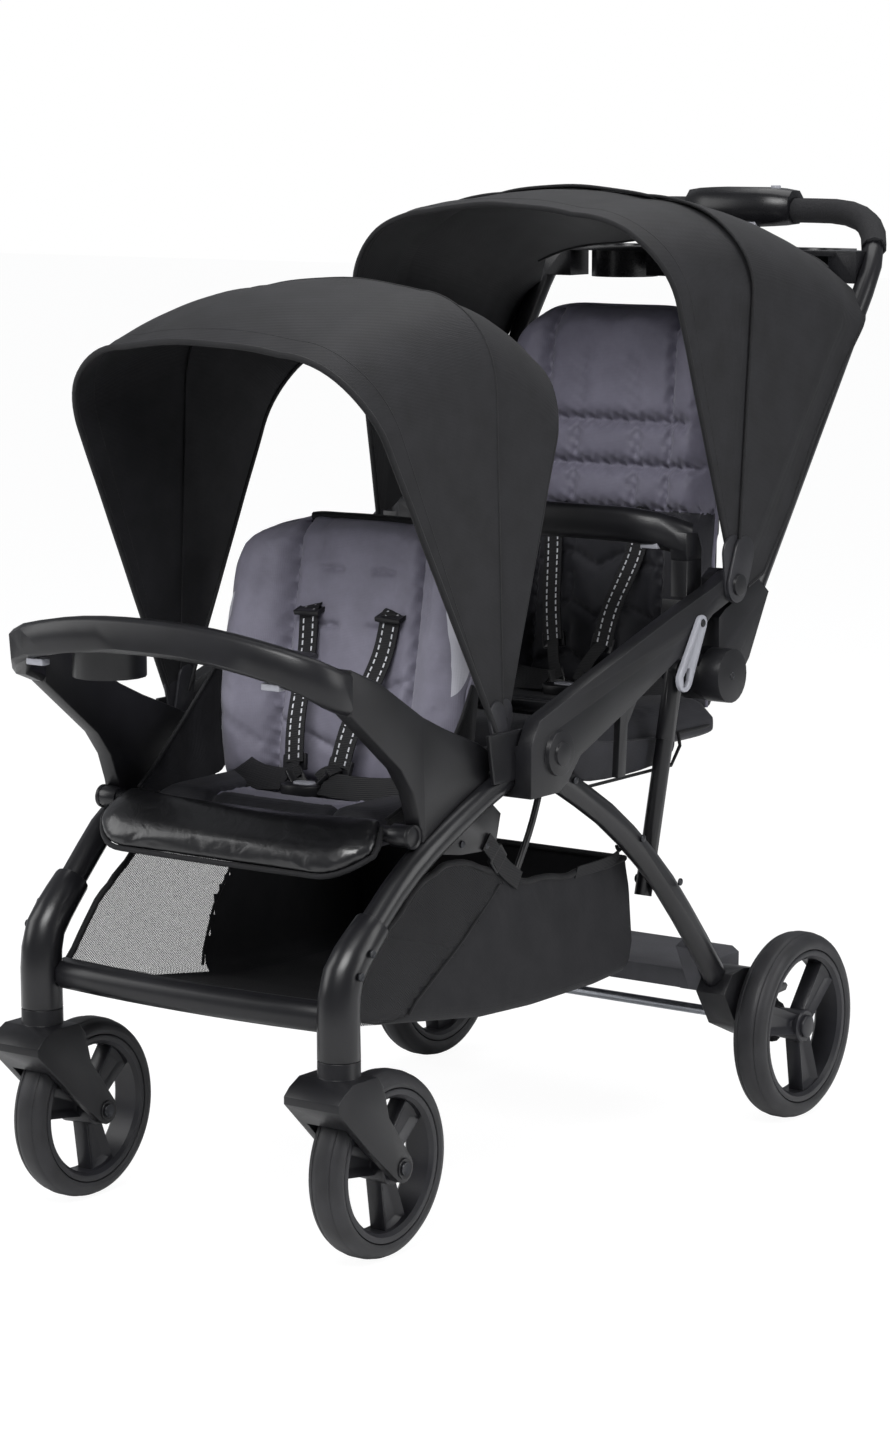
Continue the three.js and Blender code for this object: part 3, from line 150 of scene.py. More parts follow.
# %% [markdown]
# Moulded plastics: glass-filled nylon and polypropylene come out of a spark-eroded mould with
# a fine grain. The grain is about 0.5 mm, drawn at 1.5 mm so that it shows. Handled edges are
# a little lighter, which a broad noise stands for.

# %% Moulded plastics
def moulded(name, dark, pale, roughness, grain=650.0, strength=0.12):
    material, tree, into, place = new_finish(name, dark, roughness, IOR=1.49, Specular_IOR_Level=0.35)
    cloud = add_node(tree, "TexNoise", {"Vector": place, "Scale": 18.0, "Detail": 5.0})
    two_tone(tree, into, cloud, dark, pale, 0.35, 0.75)
    spark = add_node(tree, "TexNoise", {"Vector": place, "Scale": grain, "Detail": 4.0})
    spread = {"Value": spark, "To Min": roughness - 0.06, "To Max": roughness + 0.08}
    add_node(tree, "MapRange", spread, into["Roughness"])
    add_node(tree, "Bump", {"Height": spark, "Strength": strength, "Distance": 0.0005}, into["Normal"])
    return material


black_plastic = moulded("moulded nylon, spark grain, black", "121214", "1a1a1d", 0.36)
hub_plastic = moulded("moulded polypropylene, wheel black", "1f1f22", "29292d", 0.34)
pale_plastic = moulded("moulded ABS, light grey", "8c8d94", "a0a1a8", 0.4, 500.0, 0.06)
step_plastic = moulded("moulded polypropylene, step grey", "434347", "515156", 0.6, 300.0, 0.3)
console_plastic = moulded("moulded ABS, satin black", "121214", "1b1b1e", 0.28, 700.0, 0.05)
canopy_clip_plastic = moulded("moulded acetal, black", "202023", "2a2a2e", 0.4)

# %% [markdown]
# Foamed rubber covers the handle, EVA tyres carry the wheels. Foam has closed cells of about
# a millimetre; a Voronoi pattern gives their rims. The tyre is smoother, with a dull bloom.

# %% Foam and tyre
handle_foam, tree, into, place = new_finish(
    "closed-cell foam, black", "202022", 0.85, Specular_IOR_Level=0.25
)
cells = add_node(tree, "TexVoronoi", {"Vector": place, "Scale": 700.0})
two_tone(tree, into, cells, "1a1a1c", "2b2b2d", 0.1, 0.9)
add_node(tree, "Bump", {"Height": cells, "Strength": 0.4, "Distance": 0.0006}, into["Normal"])

tyre_eva, tree, into, place = new_finish("moulded EVA, tyre black", "29292b", 0.5, Specular_IOR_Level=0.4)
bloom = add_node(tree, "TexNoise", {"Vector": place, "Scale": 30.0, "Detail": 6.0})
two_tone(tree, into, bloom, "1d1d1f", "29292c", 0.35, 0.7)
skin_grain = add_node(tree, "TexNoise", {"Vector": place, "Scale": 500.0, "Detail": 2.0})
add_node(tree, "Bump", {"Height": skin_grain, "Strength": 0.15, "Distance": 0.0005}, into["Normal"])

# %% [markdown]
# Bright parts: the rear axle is zinc-plated steel, the screws and rivets are blackened.
# Drawing leaves fine lines along the rod, so a noise stretched along X roughens it in streaks.

# %% Zinc-plated steel
bright_zinc, tree, into, place = new_finish("zinc plated steel, bright", "b4b7bd", 0.28, Metallic=1.0)
stretch = add_node(tree, "Mapping", {"Vector": place, "Scale": (8.0, 900.0, 900.0)})
streak = add_node(tree, "TexNoise", {"Vector": stretch, "Scale": 1.0, "Detail": 2.0})
add_node(tree, "MapRange", {"Value": streak, "To Min": 0.2, "To Max": 0.42}, into["Roughness"])

dark_zinc, tree, into, place = new_finish("zinc plated steel, blackened", "3a3b3e", 0.34, Metallic=0.9)
streak = add_node(tree, "TexNoise", {"Vector": place, "Scale": 400.0, "Detail": 2.0})
add_node(tree, "MapRange", {"Value": streak, "To Min": 0.28, "To Max": 0.46}, into["Roughness"])

# %% [markdown]
# Woven polyester: threads cross at right angles. Real threads are 0.4 mm apart, too fine to
# show from here, so two wave patterns at 1.3 mm stand for them, mixed into a bump. A slow
# noise gives the uneven dye and the soft rubbed look, and sheen the pale rim of loose fibres.

# %% Woven cloths
def woven(name, dark, pale, roughness, sheen, thread=1500.0, strength=0.25):
    material, tree, into, place = new_finish(
        name, dark, roughness, Sheen_Weight=sheen, Sheen_Roughness=0.5, Specular_IOR_Level=0.22
    )
    pattern = {"Vector": place, "Scale": thread / 20 * 3.14, "Distortion": 0.6}
    warp, weft = [add_node(tree, "TexWave", pattern, bands_direction=way).outputs["Fac"] for way in "XZ"]
    both = add_node(tree, "Math", {0: warp, 1: weft}, operation="ADD")
    slub = add_node(tree, "TexNoise", {"Vector": place, "Scale": 26.0, "Detail": 8.0, "Roughness": 0.65})
    two_tone(tree, into, slub, dark, pale, 0.32, 0.72)
    add_node(tree, "Bump", {"Height": both, "Strength": strength, "Distance": 0.0005}, into["Normal"])
    return material


SEAT_WEAVE = ("6f6d7a", "7d7b89", 0.55, 0.12, 1300.0, 0.18)
canopy_cloth = woven("woven polyester, black", "151517", "1f1f22", 0.6, 0.03)
seat_cloth = woven("woven polyester, purple grey", *SEAT_WEAVE)
panel_cloth = woven("woven polyester, charcoal", "202024", "2b2b30", 0.62, 0.06, 1300.0, 0.18)
slate_cloth = woven("woven polyester, slate grey", "5b5966", "6a6876", 0.5, 0.12, 1300.0, 0.18)
basket_cloth = woven("woven polyester, basket black", "151518", "1f1f22", 0.7, 0.03)
piping_cloth = woven("bias tape, black", "131315", "1c1c1e", 0.66, 0.04, 1800.0, 0.3)

# %% [markdown]
# The calf rest is polyester with a polyurethane coating: nearly black and slightly glossy, so
# that shoes wipe clean. The coating rounds the weave off, and creases catch the light.
# Harness webbing is woven nylon with fine ribs across it, drawn at nearly 2 mm so that they show.

# %% Coated cloth and harness webbing
coated_cloth, tree, into, place = new_finish(
    "polyurethane coated cloth, black", "141416", 0.3, Coat_Weight=0.1
)
crease = add_node(tree, "TexNoise", {"Vector": place, "Scale": 55.0, "Detail": 4.0, "Distortion": 0.8})
two_tone(tree, into, crease, "0c0c0e", "141416", 0.3, 0.75)
add_node(tree, "Bump", {"Height": crease, "Strength": 0.35, "Distance": 0.002}, into["Normal"])

webbing_black, tree, into, place = new_finish(
    "woven nylon webbing, black", "1a1a1c", 0.6, Specular_IOR_Level=0.3
)
rib = add_node(tree, "TexWave", {"Vector": place, "Scale": 180.0}, bands_direction="Z").outputs["Fac"]
two_tone(tree, into, rib, "121214", "1f1f21", 0.1, 0.9)
add_node(tree, "Bump", {"Height": rib, "Strength": 0.5, "Distance": 0.0006}, into["Normal"])

# %% [markdown]
# A painted highlight: a pale grey crescent is painted on the edge of each front bolster, where
# the cloth catches the light. Its outline is drawn in the shader, from each point's place:
# inside a circle and behind a line.

# %% Seat cloth with a painted highlight
HIGHLIGHT_MIDDLE = (0.0, (156 - SHIFT_Y) / 1000, 0.592)
HIGHLIGHT_RADIUS = 0.058
HIGHLIGHT_EDGE = (0.092, (139 - SHIFT_Y) / 1000)

highlit_cloth = woven("woven polyester, purple grey with painted highlight", *SEAT_WEAVE)
tree = highlit_cloth.node_tree
into = tree.nodes["Principled BSDF"].inputs
cloth_colour = into["Base Color"].links[0].from_socket
place = add_node(tree, "TexCoord", {}).outputs["Object"]
_, y, z = add_node(tree, "SeparateXYZ", {"Vector": place}).outputs
level = add_node(tree, "CombineXYZ", {"Y": y, "Z": z})
reach = add_node(tree, "VectorMath", {0: level, 1: HIGHLIGHT_MIDDLE}, operation="DISTANCE").outputs["Value"]
inside = add_node(tree, "Math", {0: reach, 1: HIGHLIGHT_RADIUS}, operation="LESS_THAN")
lean = add_node(tree, "Math", {0: z, 1: HIGHLIGHT_EDGE[0], 2: HIGHLIGHT_EDGE[1]}, operation="MULTIPLY_ADD")
behind = add_node(tree, "Math", {0: y, 1: lean}, operation="GREATER_THAN")
crescent = add_node(tree, "Math", {0: inside, 1: behind}, operation="MULTIPLY")
# Painted highlight: the pale crescent is mixed into the cloth's colour.
highlight_mix = {"Factor": crescent, 6: cloth_colour, 7: linear("b9b9c2")}
highlight_mix = add_node(tree, "Mix", highlight_mix, data_type="RGBA")
tree.links.new(highlight_mix.outputs[2], into["Base Color"])

white_thread, tree, into, place = new_finish("reflective thread, white", "c9cad0", 0.4, Metallic=0.15)
twist = add_node(tree, "TexNoise", {"Vector": place, "Scale": 900.0, "Detail": 2.0})
two_tone(tree, into, twist, "b2b3b9", "dcdde2")

# %% [markdown]
# Basket mesh is knitted polyester net with 2 mm holes. From a few steps away the holes blend
# with the threads, so the net is drawn as two slanting sets of threads that let half the
# light through.

# %% Knitted net
knitted_net, tree, into, place = new_finish("knitted polyester net, black", "2b2b2d", 0.8)
_, y, z = add_node(tree, "SeparateXYZ", {"Vector": place}).outputs
sets = []
for kind in ("ADD", "SUBTRACT"):
    slant = add_node(tree, "Math", {0: y, 1: z}, operation=kind)
    turns = add_node(tree, "Math", {0: slant, 1: 1050.0}, operation="MULTIPLY")
    wave = add_node(tree, "Math", {0: turns}, operation="SINE")
    size = add_node(tree, "Math", {0: wave}, operation="ABSOLUTE")
    sets.append(add_node(tree, "Math", {0: size, 1: 0.36}, operation="LESS_THAN"))
add_node(tree, "Math", {0: sets[0], 1: sets[1]}, into["Alpha"], operation="MAXIMUM")

print("finishes:", len(bpy.data.materials))

# %% [markdown]
# The studio: a wide pale floor, a big soft key light above the front left, softer lights from
# both sides and one above. The camera matches the photograph: about 36 degrees round from the
# front, 9 degrees down, a long lens so that wheels look round.

# %% Camera, floor and lights
bpy.ops.object.camera_add(location=at(2431.6, -3008.0, 1144.5))
camera = bpy.context.object
camera.rotation_euler = (math.radians(90 - 9.03), 0, math.radians(35.59))
camera.data.lens = 95.9
camera.data.sensor_width = 36
bpy.context.scene.camera = camera

bpy.ops.mesh.primitive_plane_add(size=40, location=(0, 0, -0.001))
floor = bpy.context.object
floor.name = "studio_floor"
paper, tree, _, _ = new_finish("studio paper, white", "f4f4f4", 0.9)
eye_ray = add_node(tree, "LightPath", {}).outputs["Is Camera Ray"]
glow = add_node(tree, "Emission", {"Strength": 1.12, "Color": (1, 1, 1, 1)})
share = add_node(tree, "Math", {0: eye_ray, 1: 0.84}, operation="MULTIPLY")
surface = tree.nodes["Material Output"].inputs["Surface"]
add_node(tree, "MixShader", {0: share, 1: tree.nodes["Principled BSDF"], 2: glow}, surface)
floor.data.materials.append(paper)

world = bpy.data.worlds.new("studio sky")
bpy.context.scene.world = world
world.use_nodes = True
tree = world.node_tree
seen = tree.nodes["Background"]
seen.inputs["Color"].default_value = (1, 1, 1, 1)
seen.inputs["Strength"].default_value = 1.0
ambient = add_node(tree, "Background", {"Color": (0.93, 0.95, 1.0, 1), "Strength": 0.27})
rays = add_node(tree, "LightPath", {}).outputs
clear = {0: rays["Is Camera Ray"], 1: rays["Is Transmission Ray"]}
clear = add_node(tree, "Math", clear, operation="MAXIMUM")
add_node(tree, "MixShader", {0: clear, 1: ambient, 2: seen}, tree.nodes["World Output"].inputs["Surface"])

for name, place, size, watts in (
    ("key_light", (0.8, -2.2, 2.6), (1.6, 1.1), 78),
    ("side_light", (2.8, 0.6, 1.5), (1.4, 2.0), 36),
    ("far_light", (-2.4, -1.6, 1.6), (1.6, 1.8), 28),
    ("top_light", (0, 0.8, 3.0), (2.0, 2.0), 36),
):
    bpy.ops.object.light_add(type="AREA", location=place)
    lamp = bpy.context.object
    lamp.name = name
    lamp.data.shape = "RECTANGLE"
    lamp.data.size, lamp.data.size_y = size
    lamp.data.energy = watts
    lamp.rotation_euler = (Vector((0, 0, 0.5)) - Vector(place)).to_track_quat("-Z", "Y").to_euler()
bpy.context.scene.view_settings.view_transform = "Standard"
bpy.ops.object.select_all(action="DESELECT")

# %% [markdown]
# Small helpers do what every piece needs: run edit-mode tools on its whole mesh, bevel its
# edges, push a face in or out, join pieces, and tell the frame what a piece is.

# %% Helpers for every piece
def select_only(piece):
    bpy.ops.object.select_all(action="DESELECT")
    piece.hide_set(False)
    piece.select_set(True)
    bpy.context.view_layer.objects.active = piece


def edited(piece, *steps):
    """Run edit-mode tools, each with its settings, on all of a piece's mesh."""
    select_only(piece)
    bpy.ops.object.mode_set(mode="EDIT")
    for tool, settings in steps:
        bpy.ops.mesh.select_all(action="SELECT")
        tool(**settings)
    bpy.ops.object.mode_set(mode="OBJECT")


def merge(distance):
    return bpy.ops.mesh.remove_doubles, {"threshold": distance}


def modified(piece, kind, **settings):
    """Add a modifier with its settings and apply it."""
    added = piece.modifiers.new(kind.lower(), kind)
    for key, value in settings.items():
        setattr(added, key, value)
    select_only(piece)
    bpy.ops.object.modifier_apply(modifier=added.name)


def bevelled(piece, width, segments=2, angle=30):
    """Round the edges that turn more sharply than an angle, by a width in mm."""
    limit = math.radians(angle)
    settings = {"segments": segments, "limit_method": "ANGLE", "angle_limit": limit}
    modified(piece, "BEVEL", width=width / 1000, **settings)


def smooth(piece, angle=40):
    select_only(piece)
    bpy.ops.object.shade_smooth_by_angle(angle=math.radians(angle))


def joined(piece, others):
    select_only(piece)
    for other in others:
        other.select_set(True)
    bpy.ops.object.join()


def push_face(piece, chosen, inset, move):
    """Inset the faces that a test picks and move them, for a recess or a raised middle."""
    select_only(piece)
    bpy.ops.object.mode_set(mode="EDIT")
    bpy.ops.mesh.select_all(action="DESELECT")
    bpy.ops.object.mode_set(mode="OBJECT")
    for face in piece.data.polygons:
        face.select = chosen(face)
    bpy.ops.object.mode_set(mode="EDIT")
    bpy.ops.mesh.inset(thickness=inset)
    bpy.ops.transform.translate(value=move)
    bpy.ops.object.mode_set(mode="OBJECT")


def dressed(piece, finish, body=None, node=None):
    """Give a piece its finish, the body it rides on and the node it stands for."""
    piece.data.materials.clear()
    piece.data.materials.append(finish)
    if body:
        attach(piece, body)
    if node:
        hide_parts(node)
    return piece


# %% [markdown]
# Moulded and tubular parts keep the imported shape. A copy of each is cleaned in edit mode:
# its loose triangles are merged and flat areas dissolved, its edges get a small rounded bevel
# as every moulding has, and shading is smooth except across real corners.

# %% Finish for parts that keep their shape
def finished(node, finish, bevel, angle=42):
    """A cleaned copy of a node, its edges rounded by a bevel in mm where they turn sharply."""
    piece = bpy.data.objects.new(node + "_finished", NODES[node].data.copy())
    bpy.context.scene.collection.objects.link(piece)
    edited(piece, merge(0.00002), (bpy.ops.mesh.dissolve_limited, {"angle_limit": math.radians(1)}))
    if bevel:
        bevelled(piece, bevel, angle=angle + 3)
    smooth(piece, angle)
    dressed(piece, finish, NODES[node]["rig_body"], node=node)


# A name that ends in an underscore stands for a left and a right part.
KEPT_SHAPES = [
    # tubes: legs, housings, struts, handle
    ("front_leg_", painted_tube, 0, 50),
    ("rear_leg_", painted_tube, 1.0, 48),
    ("caster_housing_", painted_tube, 0.6, 46),
    ("strut_", painted_tube, 0.4, 46),
    ("handle_tube", painted_tube, 0, 50),
    ("calf_rest_tube", painted_tube, 0.5, 46),
    ("gusset_frame", painted_tube, 0.4, 46),
    # mouldings: forks, rails, hinges, trays, levers
    ("caster_fork_", black_plastic, 1.6),
    ("front_crossbar", black_plastic, 1.5, 50),
    ("rear_axle_bracket_", black_plastic, 1.2),
    ("brake_pedal_", black_plastic, 0.8),
    ("side_rail_", black_plastic, 1.5),
    ("fold_hinge_", black_plastic, 1.4),
    ("front_tray_arm_", black_plastic, 2.0),
    ("front_tray", black_plastic, 1.6, 46),
    ("rear_bar", black_plastic, 1.6, 46),
    ("parent_tray", console_plastic, 1.0),
    ("handle_console", console_plastic, 1.2, 50),
    ("seat_release_lever_", pale_plastic, 0.8),
    ("front_tray_clip_", pale_plastic, 1.0),
    ("rear_bar_clip", pale_plastic, 1.0),
    ("fold_trigger", pale_plastic, 1.5),
    ("lock_button", pale_plastic, 0.8),
    ("front_buckle", black_plastic, 1.0),
    ("rear_buckle", black_plastic, 1.0),
    ("front_buckle_button", pale_plastic, 0.8),
    ("rear_buckle_button", pale_plastic, 0.8),
    ("rear_axle", bright_zinc, 0.8, 46),
    ("standing_platform", step_plastic, 1.2),
    ("handle_grip", handle_foam, 0, 60),
]
for name, *how in KEPT_SHAPES:
    for end in ("left", "right") if name.endswith("_") else ("",):
        finished(name + end, *how)

# %% [markdown]
# Cloth is made from grids of points. One helper makes a mesh from rows of points, another
# sweeps a small round section along a path for piping, wires and thread. The cloth gets its
# thickness from a Solidify modifier.

# %% Grids and cords
def mesh_piece(name, verts, edges, faces):
    mesh = bpy.data.meshes.new(name)
    mesh.from_pydata([tuple(v) for v in verts], edges, faces)
    piece = bpy.data.objects.new(name, mesh)
    bpy.context.scene.collection.objects.link(piece)
    return piece


def grid_mesh(name, rows, closed=False):
    count = len(rows[0])
    faces = [
        (i * count + j, i * count + (j + 1) % count, (i + 1) * count + (j + 1) % count, (i + 1) * count + j)
        for i in range(len(rows) - 1)
        for j in range(count if closed else count - 1)
    ]
    return mesh_piece(name, [p for row in rows for p in row], [], faces)


def outward(piece, inside=None):
    """Turn the faces outwards; for an open sheet, away from a point inside it."""
    edited(piece, merge(0.00005), (bpy.ops.mesh.normals_make_consistent, {"inside": False}))
    if inside is not None:
        mesh = piece.data
        if sum((f.center - inside).dot(f.normal) * f.area for f in mesh.polygons) < 0:
            mesh.flip_normals()


def cord_mesh(name, points, radius, finish, body, sides=8, closed=False):
    points = [Vector(p) for p in points]
    count = len(points)
    rows = []
    side = None
    for i, p in enumerate(points):
        before = points[i - 1] if (i or closed) else p
        after = points[(i + 1) % count] if (i < count - 1 or closed) else p
        ahead = (after - before).normalized()
        if side is None:
            side = ahead.orthogonal().normalized()
        side = (side - ahead * side.dot(ahead)).normalized()
        other = ahead.cross(side)
        turn = [2 * math.pi * k / sides for k in range(sides)]
        rows.append([p + side * math.cos(t) * radius + other * math.sin(t) * radius for t in turn])
    if closed:
        rows.append(rows[0])
    piece = grid_mesh(name, rows, closed=True)
    if not closed:
        mesh = bmesh.new()
        mesh.from_mesh(piece.data)
        bmesh.ops.holes_fill(mesh, edges=[e for e in mesh.edges if e.is_boundary], sides=sides)
        mesh.to_mesh(piece.data)
        mesh.free()
    outward(piece)
    smooth(piece, 60)
    return dressed(piece, finish, body)


def piping(name, points, radius, body, closed=False):
    """Black bias tape round a cord, its radius in mm."""
    return cord_mesh(name, points, radius / 1000, piping_cloth, body, closed=closed)


def area_of(piece):
    return sum(f.area for f in piece.data.polygons)


def thicken(piece, thickness):
    modified(piece, "SOLIDIFY", thickness=thickness / 1000, offset=0)


# %% [markdown]
# A canopy is cloth over wire bows that meet at a pivot on each side. Seen from the front each
# bow is an arch: sides that lean in, round corners, a slightly crowned top. Between bows the
# cloth sags a few millimetres, and small puckers run along the seams. One sheet spans from bow
# to bow, so it is made as a grid of arches turned about the pivot.

# %% Canopy shape
FLAT = 96.0
CORNER = 108.0
CROWN = 10.0
TIP = 30.0
ARCH_POINTS = 121


def arch_line(half_width, radius, inset):
    """Points (across, out from the pivot) of one bow, from one tip over the top to the other."""
    base = radius - CROWN - CORNER
    fine = [(half_width - inset * i / 30, TIP + (base - TIP) * i / 30) for i in range(30)]
    for i in range(25):
        turn = math.pi / 2 * i / 24
        fine.append((FLAT + (half_width - inset - FLAT) * math.cos(turn), base + CORNER * math.sin(turn)))
    for i in range(1, 21):
        share = i / 20
        fine.append((FLAT * (1 - share), radius - CROWN + CROWN * (1 - (1 - share) ** 2)))
    fine += [(-x, r) for x, r in reversed(fine[:-1])]
    line = np.array(fine)
    run = np.concatenate([[0], np.cumsum(np.hypot(*np.diff(line, axis=0).T))])
    even = np.linspace(0, run[-1], ARCH_POINTS)
    return np.stack([np.interp(even, run, line[:, 0]), np.interp(even, run, line[:, 1])], axis=1)


def canopy_grid(pivot, half_width, radius_at, inset_at, bows, offset, sag, seed, steps=22):
    """Arches turned about the pivot from the first bow's angle to the second's."""
    grid = []
    for k in range(steps + 1):
        angle = bows[0] + (bows[1] - bows[0]) * k / steps
        hang = math.sin(math.pi * k / steps) ** 0.8 if k < steps else 0.0
        tall = radius_at(angle)
        turn = math.radians(angle)
        row = []
        for j, (x, r) in enumerate(arch_line(half_width, tall, inset_at(angle))):
            run = j / (ARCH_POINTS - 1)
            rise = max(0.0, (r - TIP) / (tall - TIP))
            ripple = math.sin(run * 61 + angle * 0.55 + seed) * math.sin(run * 23 + angle * 0.21 + 2 * seed)
            drop = sag * hang * rise**1.5 + 0.8 * (0.3 + 0.7 * (1 - hang)) * ripple * rise
            width = x * (1 - 0.5 * drop / half_width) + math.copysign(offset, x) * min(1, abs(x) / 40)
            lift = (r + offset * min(1, max(0, r - 150) / 150)) * (1 - drop / max(r, 60.0))
            row.append(at(width, pivot[0] + lift * math.cos(turn), pivot[1] + lift * math.sin(turn)))
        grid.append(row)
    return grid


# %% [markdown]
# When the frame folds, the bows lie down on each other and the cloth crumples between them.
# Each canopy piece rides on a body: the front hood on the frame, the rear hood on the handle,
# which turns with it, and each visor on its own.


def canopy_cover(piece, centre, body, node):
    outward(piece, centre)
    flat = area_of(piece)
    thicken(piece, 1.6)
    smooth(piece, 60)
    dressed(piece, canopy_cloth, body, node)
    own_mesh(piece)
    return flat


def canopy_cord(name, points, radius, body, pivot=None, lift=0.0):
    """A cord along a seam, moved out from the pivot's axis by a lift in mm."""
    if pivot:
        axis = at(0, *pivot)
        points = [p + (p - axis).normalized() * lift / 1000 for p in points]
    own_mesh(piping(name, points, radius, body))


# %% Front canopy: hood on the frame, visor that swings on its own bows
FRONT_PIVOT = (190.0, 490.0)
FRONT_SHAPE = (
    FRONT_PIVOT, 211, lambda angle: 477 - 30 * max(0.0, (88 - angle) / 20) ** 1.5, lambda angle: 17.0
)
FRONT_CENTRE = at(0, 200, 640)

hood_rows = canopy_grid(*FRONT_SHAPE, (68, 91), 1.1, 3.0, 0.4, steps=16)
visor_rows = canopy_grid(*FRONT_SHAPE, (88, 118), 3.9, 4.0, 1.7)
front_flat = 0
for part, rows, body in (("hood", hood_rows, "frame"), ("visor", visor_rows, "front_visor")):
    cloth = grid_mesh(f"front_canopy_{part}_cloth", rows)
    front_flat += canopy_cover(cloth, FRONT_CENTRE, body, f"front_canopy_{part}")
canopy_cord("front_canopy_lip_piping", visor_rows[-1], 3.4, "front_visor", FRONT_PIVOT, 2.0)
canopy_cord("front_canopy_lip_seam", visor_rows[-4], 1.1, "front_visor")
canopy_cord("front_canopy_seam_piping", visor_rows[0], 1.8, "front_visor")
canopy_cord("front_canopy_rear_piping", hood_rows[0], 2.4, "frame", FRONT_PIVOT, -1.6)
print("front canopy cloth:", round(front_flat, 3), "m2")

# %% [markdown]
# The rear hood grows taller towards the handle. Its sides run on past the rear bow as wings,
# stretched to the uprights along a hollow curve. The wing shares its points with the hood's
# rear row, so the two are joined and merged into one smooth cloth.

# %% Rear canopy
REAR_PIVOT = (602.0, 627.0)
REAR_RADIUS = 431
REAR_CENTRE = at(0, 640, 780)
WING_EDGE = np.array(
    [(630, 622), (664, 634), (720, 700), (775, 782), (836, 856), (888, 908), (903, 930)], float
)
WING_X = 240.5
WING_POINTS = 42


def rear_inset(angle):
    return 22 * max(0.0, (angle - 85) / 20)


def rear_radius(angle):
    return REAR_RADIUS + 34 * max(0.0, (85 - angle) / 33) ** 2


def wing_row(first, w):
    """The row of a wing at a share w of the way from the hood's rear row to the uprights."""
    row = []
    for j, start in enumerate(first):
        u = j / (WING_POINTS - 1)
        y, z = (np.interp(u, np.linspace(0, 1, len(WING_EDGE)), WING_EDGE[:, k]) for k in (0, 1))
        p = start.lerp(at(math.copysign(WING_X - 14 * max(0, u - 0.8) / 0.2, start.x), y, z), w)
        p.x -= math.copysign(1.6 * math.sin(math.pi * w) * math.sin(math.pi * u) / 1000, start.x)
        row.append(p)
    return row


rear_rows = canopy_grid(REAR_PIVOT, 241, rear_radius, rear_inset, (52, 85), 3.9, 2.5, 2.3)
rear_visor_rows = canopy_grid(
    REAR_PIVOT, 241, lambda angle: REAR_RADIUS, rear_inset, (82, 105), 1.1, 4.0, 3.1
)
rear_hood = grid_mesh("rear_canopy_hood_cloth", rear_rows)
wings = []
for row in (rear_rows[0], rear_rows[0][::-1]):
    wings.append([wing_row(row[:WING_POINTS], k / 10) for k in range(11)])
joined(rear_hood, [grid_mesh("rear_canopy_wing", rows) for rows in wings])
edited(rear_hood, merge(0.0001))
rear_flat = canopy_cover(rear_hood, REAR_CENTRE, "handle", "rear_canopy_hood")
rear_visor = grid_mesh("rear_canopy_visor_cloth", rear_visor_rows)
rear_flat += canopy_cover(
    rear_visor, REAR_CENTRE, "rear_visor", "rear_canopy_visor"
)
canopy_cord("rear_canopy_lip_piping", rear_visor_rows[-1], 3.2, "rear_visor", REAR_PIVOT, -2.2)
canopy_cord("rear_canopy_lip_seam", rear_visor_rows[-4], 1.1, "rear_visor")
canopy_cord("rear_canopy_seam_piping", rear_rows[-1], 1.8, "handle")
roof = rear_rows[0][WING_POINTS - 2 : 2 - WING_POINTS]
canopy_cord("rear_canopy_roof_hem", roof, 2.4, "handle")
for (side, _), rows in zip(SIDES, wings):
    canopy_cord(f"rear_canopy_wing_hem_{side}", rows[-1], 2.4, "handle")
print("rear canopy cloth:", round(rear_flat, 3), "m2")

# %% [markdown]
# The bows end in moulded eyes on the pivot pins. An eye starts as a thin cylinder on the
# pivot; the vertices of its upper half are moved along the bow, which makes a slot-shaped tab
# with round ends, and a bevel softens its rim.

# %% Bow eyes at the canopy pivots
def bow_eye(name, x, pivot, radius, angle, reach, body):
    centre = at(x, *pivot)
    bpy.ops.mesh.primitive_cylinder_add(
        vertices=40, radius=radius / 1000, depth=0.0034, location=centre, rotation=(0, math.pi / 2, 0)
    )
    eye = bpy.context.object
    eye.name = name
    bpy.ops.object.transform_apply(location=True, rotation=True, scale=True)
    ahead = Vector((0, math.cos(math.radians(angle)), math.sin(math.radians(angle))))
    for vertex in eye.data.vertices:
        if (vertex.co - centre).dot(ahead) > 0.0005:
            vertex.co += ahead * reach / 1000
    bevelled(eye, 0.9)
    smooth(eye)
    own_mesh(dressed(eye, canopy_clip_plastic, body))


for side, sign in SIDES:
    bow_eye(f"front_hood_eye_{side}", sign * 210.7, FRONT_PIVOT, 14, 78, 44, "frame")
    bow_eye(f"front_visor_eye_{side}", sign * 215.2, FRONT_PIVOT, 14, 104, 44, "front_visor")
    bow_eye(f"rear_hood_eye_{side}", sign * 244.9, REAR_PIVOT, 20, 68, 36, "handle")
    bow_eye(f"rear_visor_eye_{side}", sign * 241.2, REAR_PIVOT, 20, 98, 36, "rear_visor")


# %% [markdown]
# Cushions are quilted covers over foam and a board. Each starts as a closed shell a little
# smaller than the real one. Cloth simulation with pressure inside swells it as stuffing does,
# and how far a point may move is capped. Then seams are drawn in: points near a seam line sink
# along a smooth hollow, which is what a needle and thread do to foam.

# %% Shells and stuffing
def closed_shell(name, front_rows, back_rows):
    piece = grid_mesh(name, front_rows)
    joined(piece, [grid_mesh(name + "_back", back_rows)])
    rows, cols = len(front_rows), len(front_rows[0])
    half = rows * cols
    mesh = bmesh.new()
    mesh.from_mesh(piece.data)
    mesh.verts.ensure_lookup_table()
    rim = list(range(cols))
    rim += [i * cols + cols - 1 for i in range(1, rows)]
    rim += [(rows - 1) * cols + j for j in range(cols - 2, -1, -1)]
    rim += [i * cols for i in range(rows - 2, 0, -1)]
    for a, b in zip(rim, rim[1:] + rim[:1]):
        mesh.faces.new([mesh.verts[k] for k in (a, b, b + half, a + half)])
    bmesh.ops.recalc_face_normals(mesh, faces=mesh.faces)
    mesh.to_mesh(piece.data)
    mesh.free()
    return piece


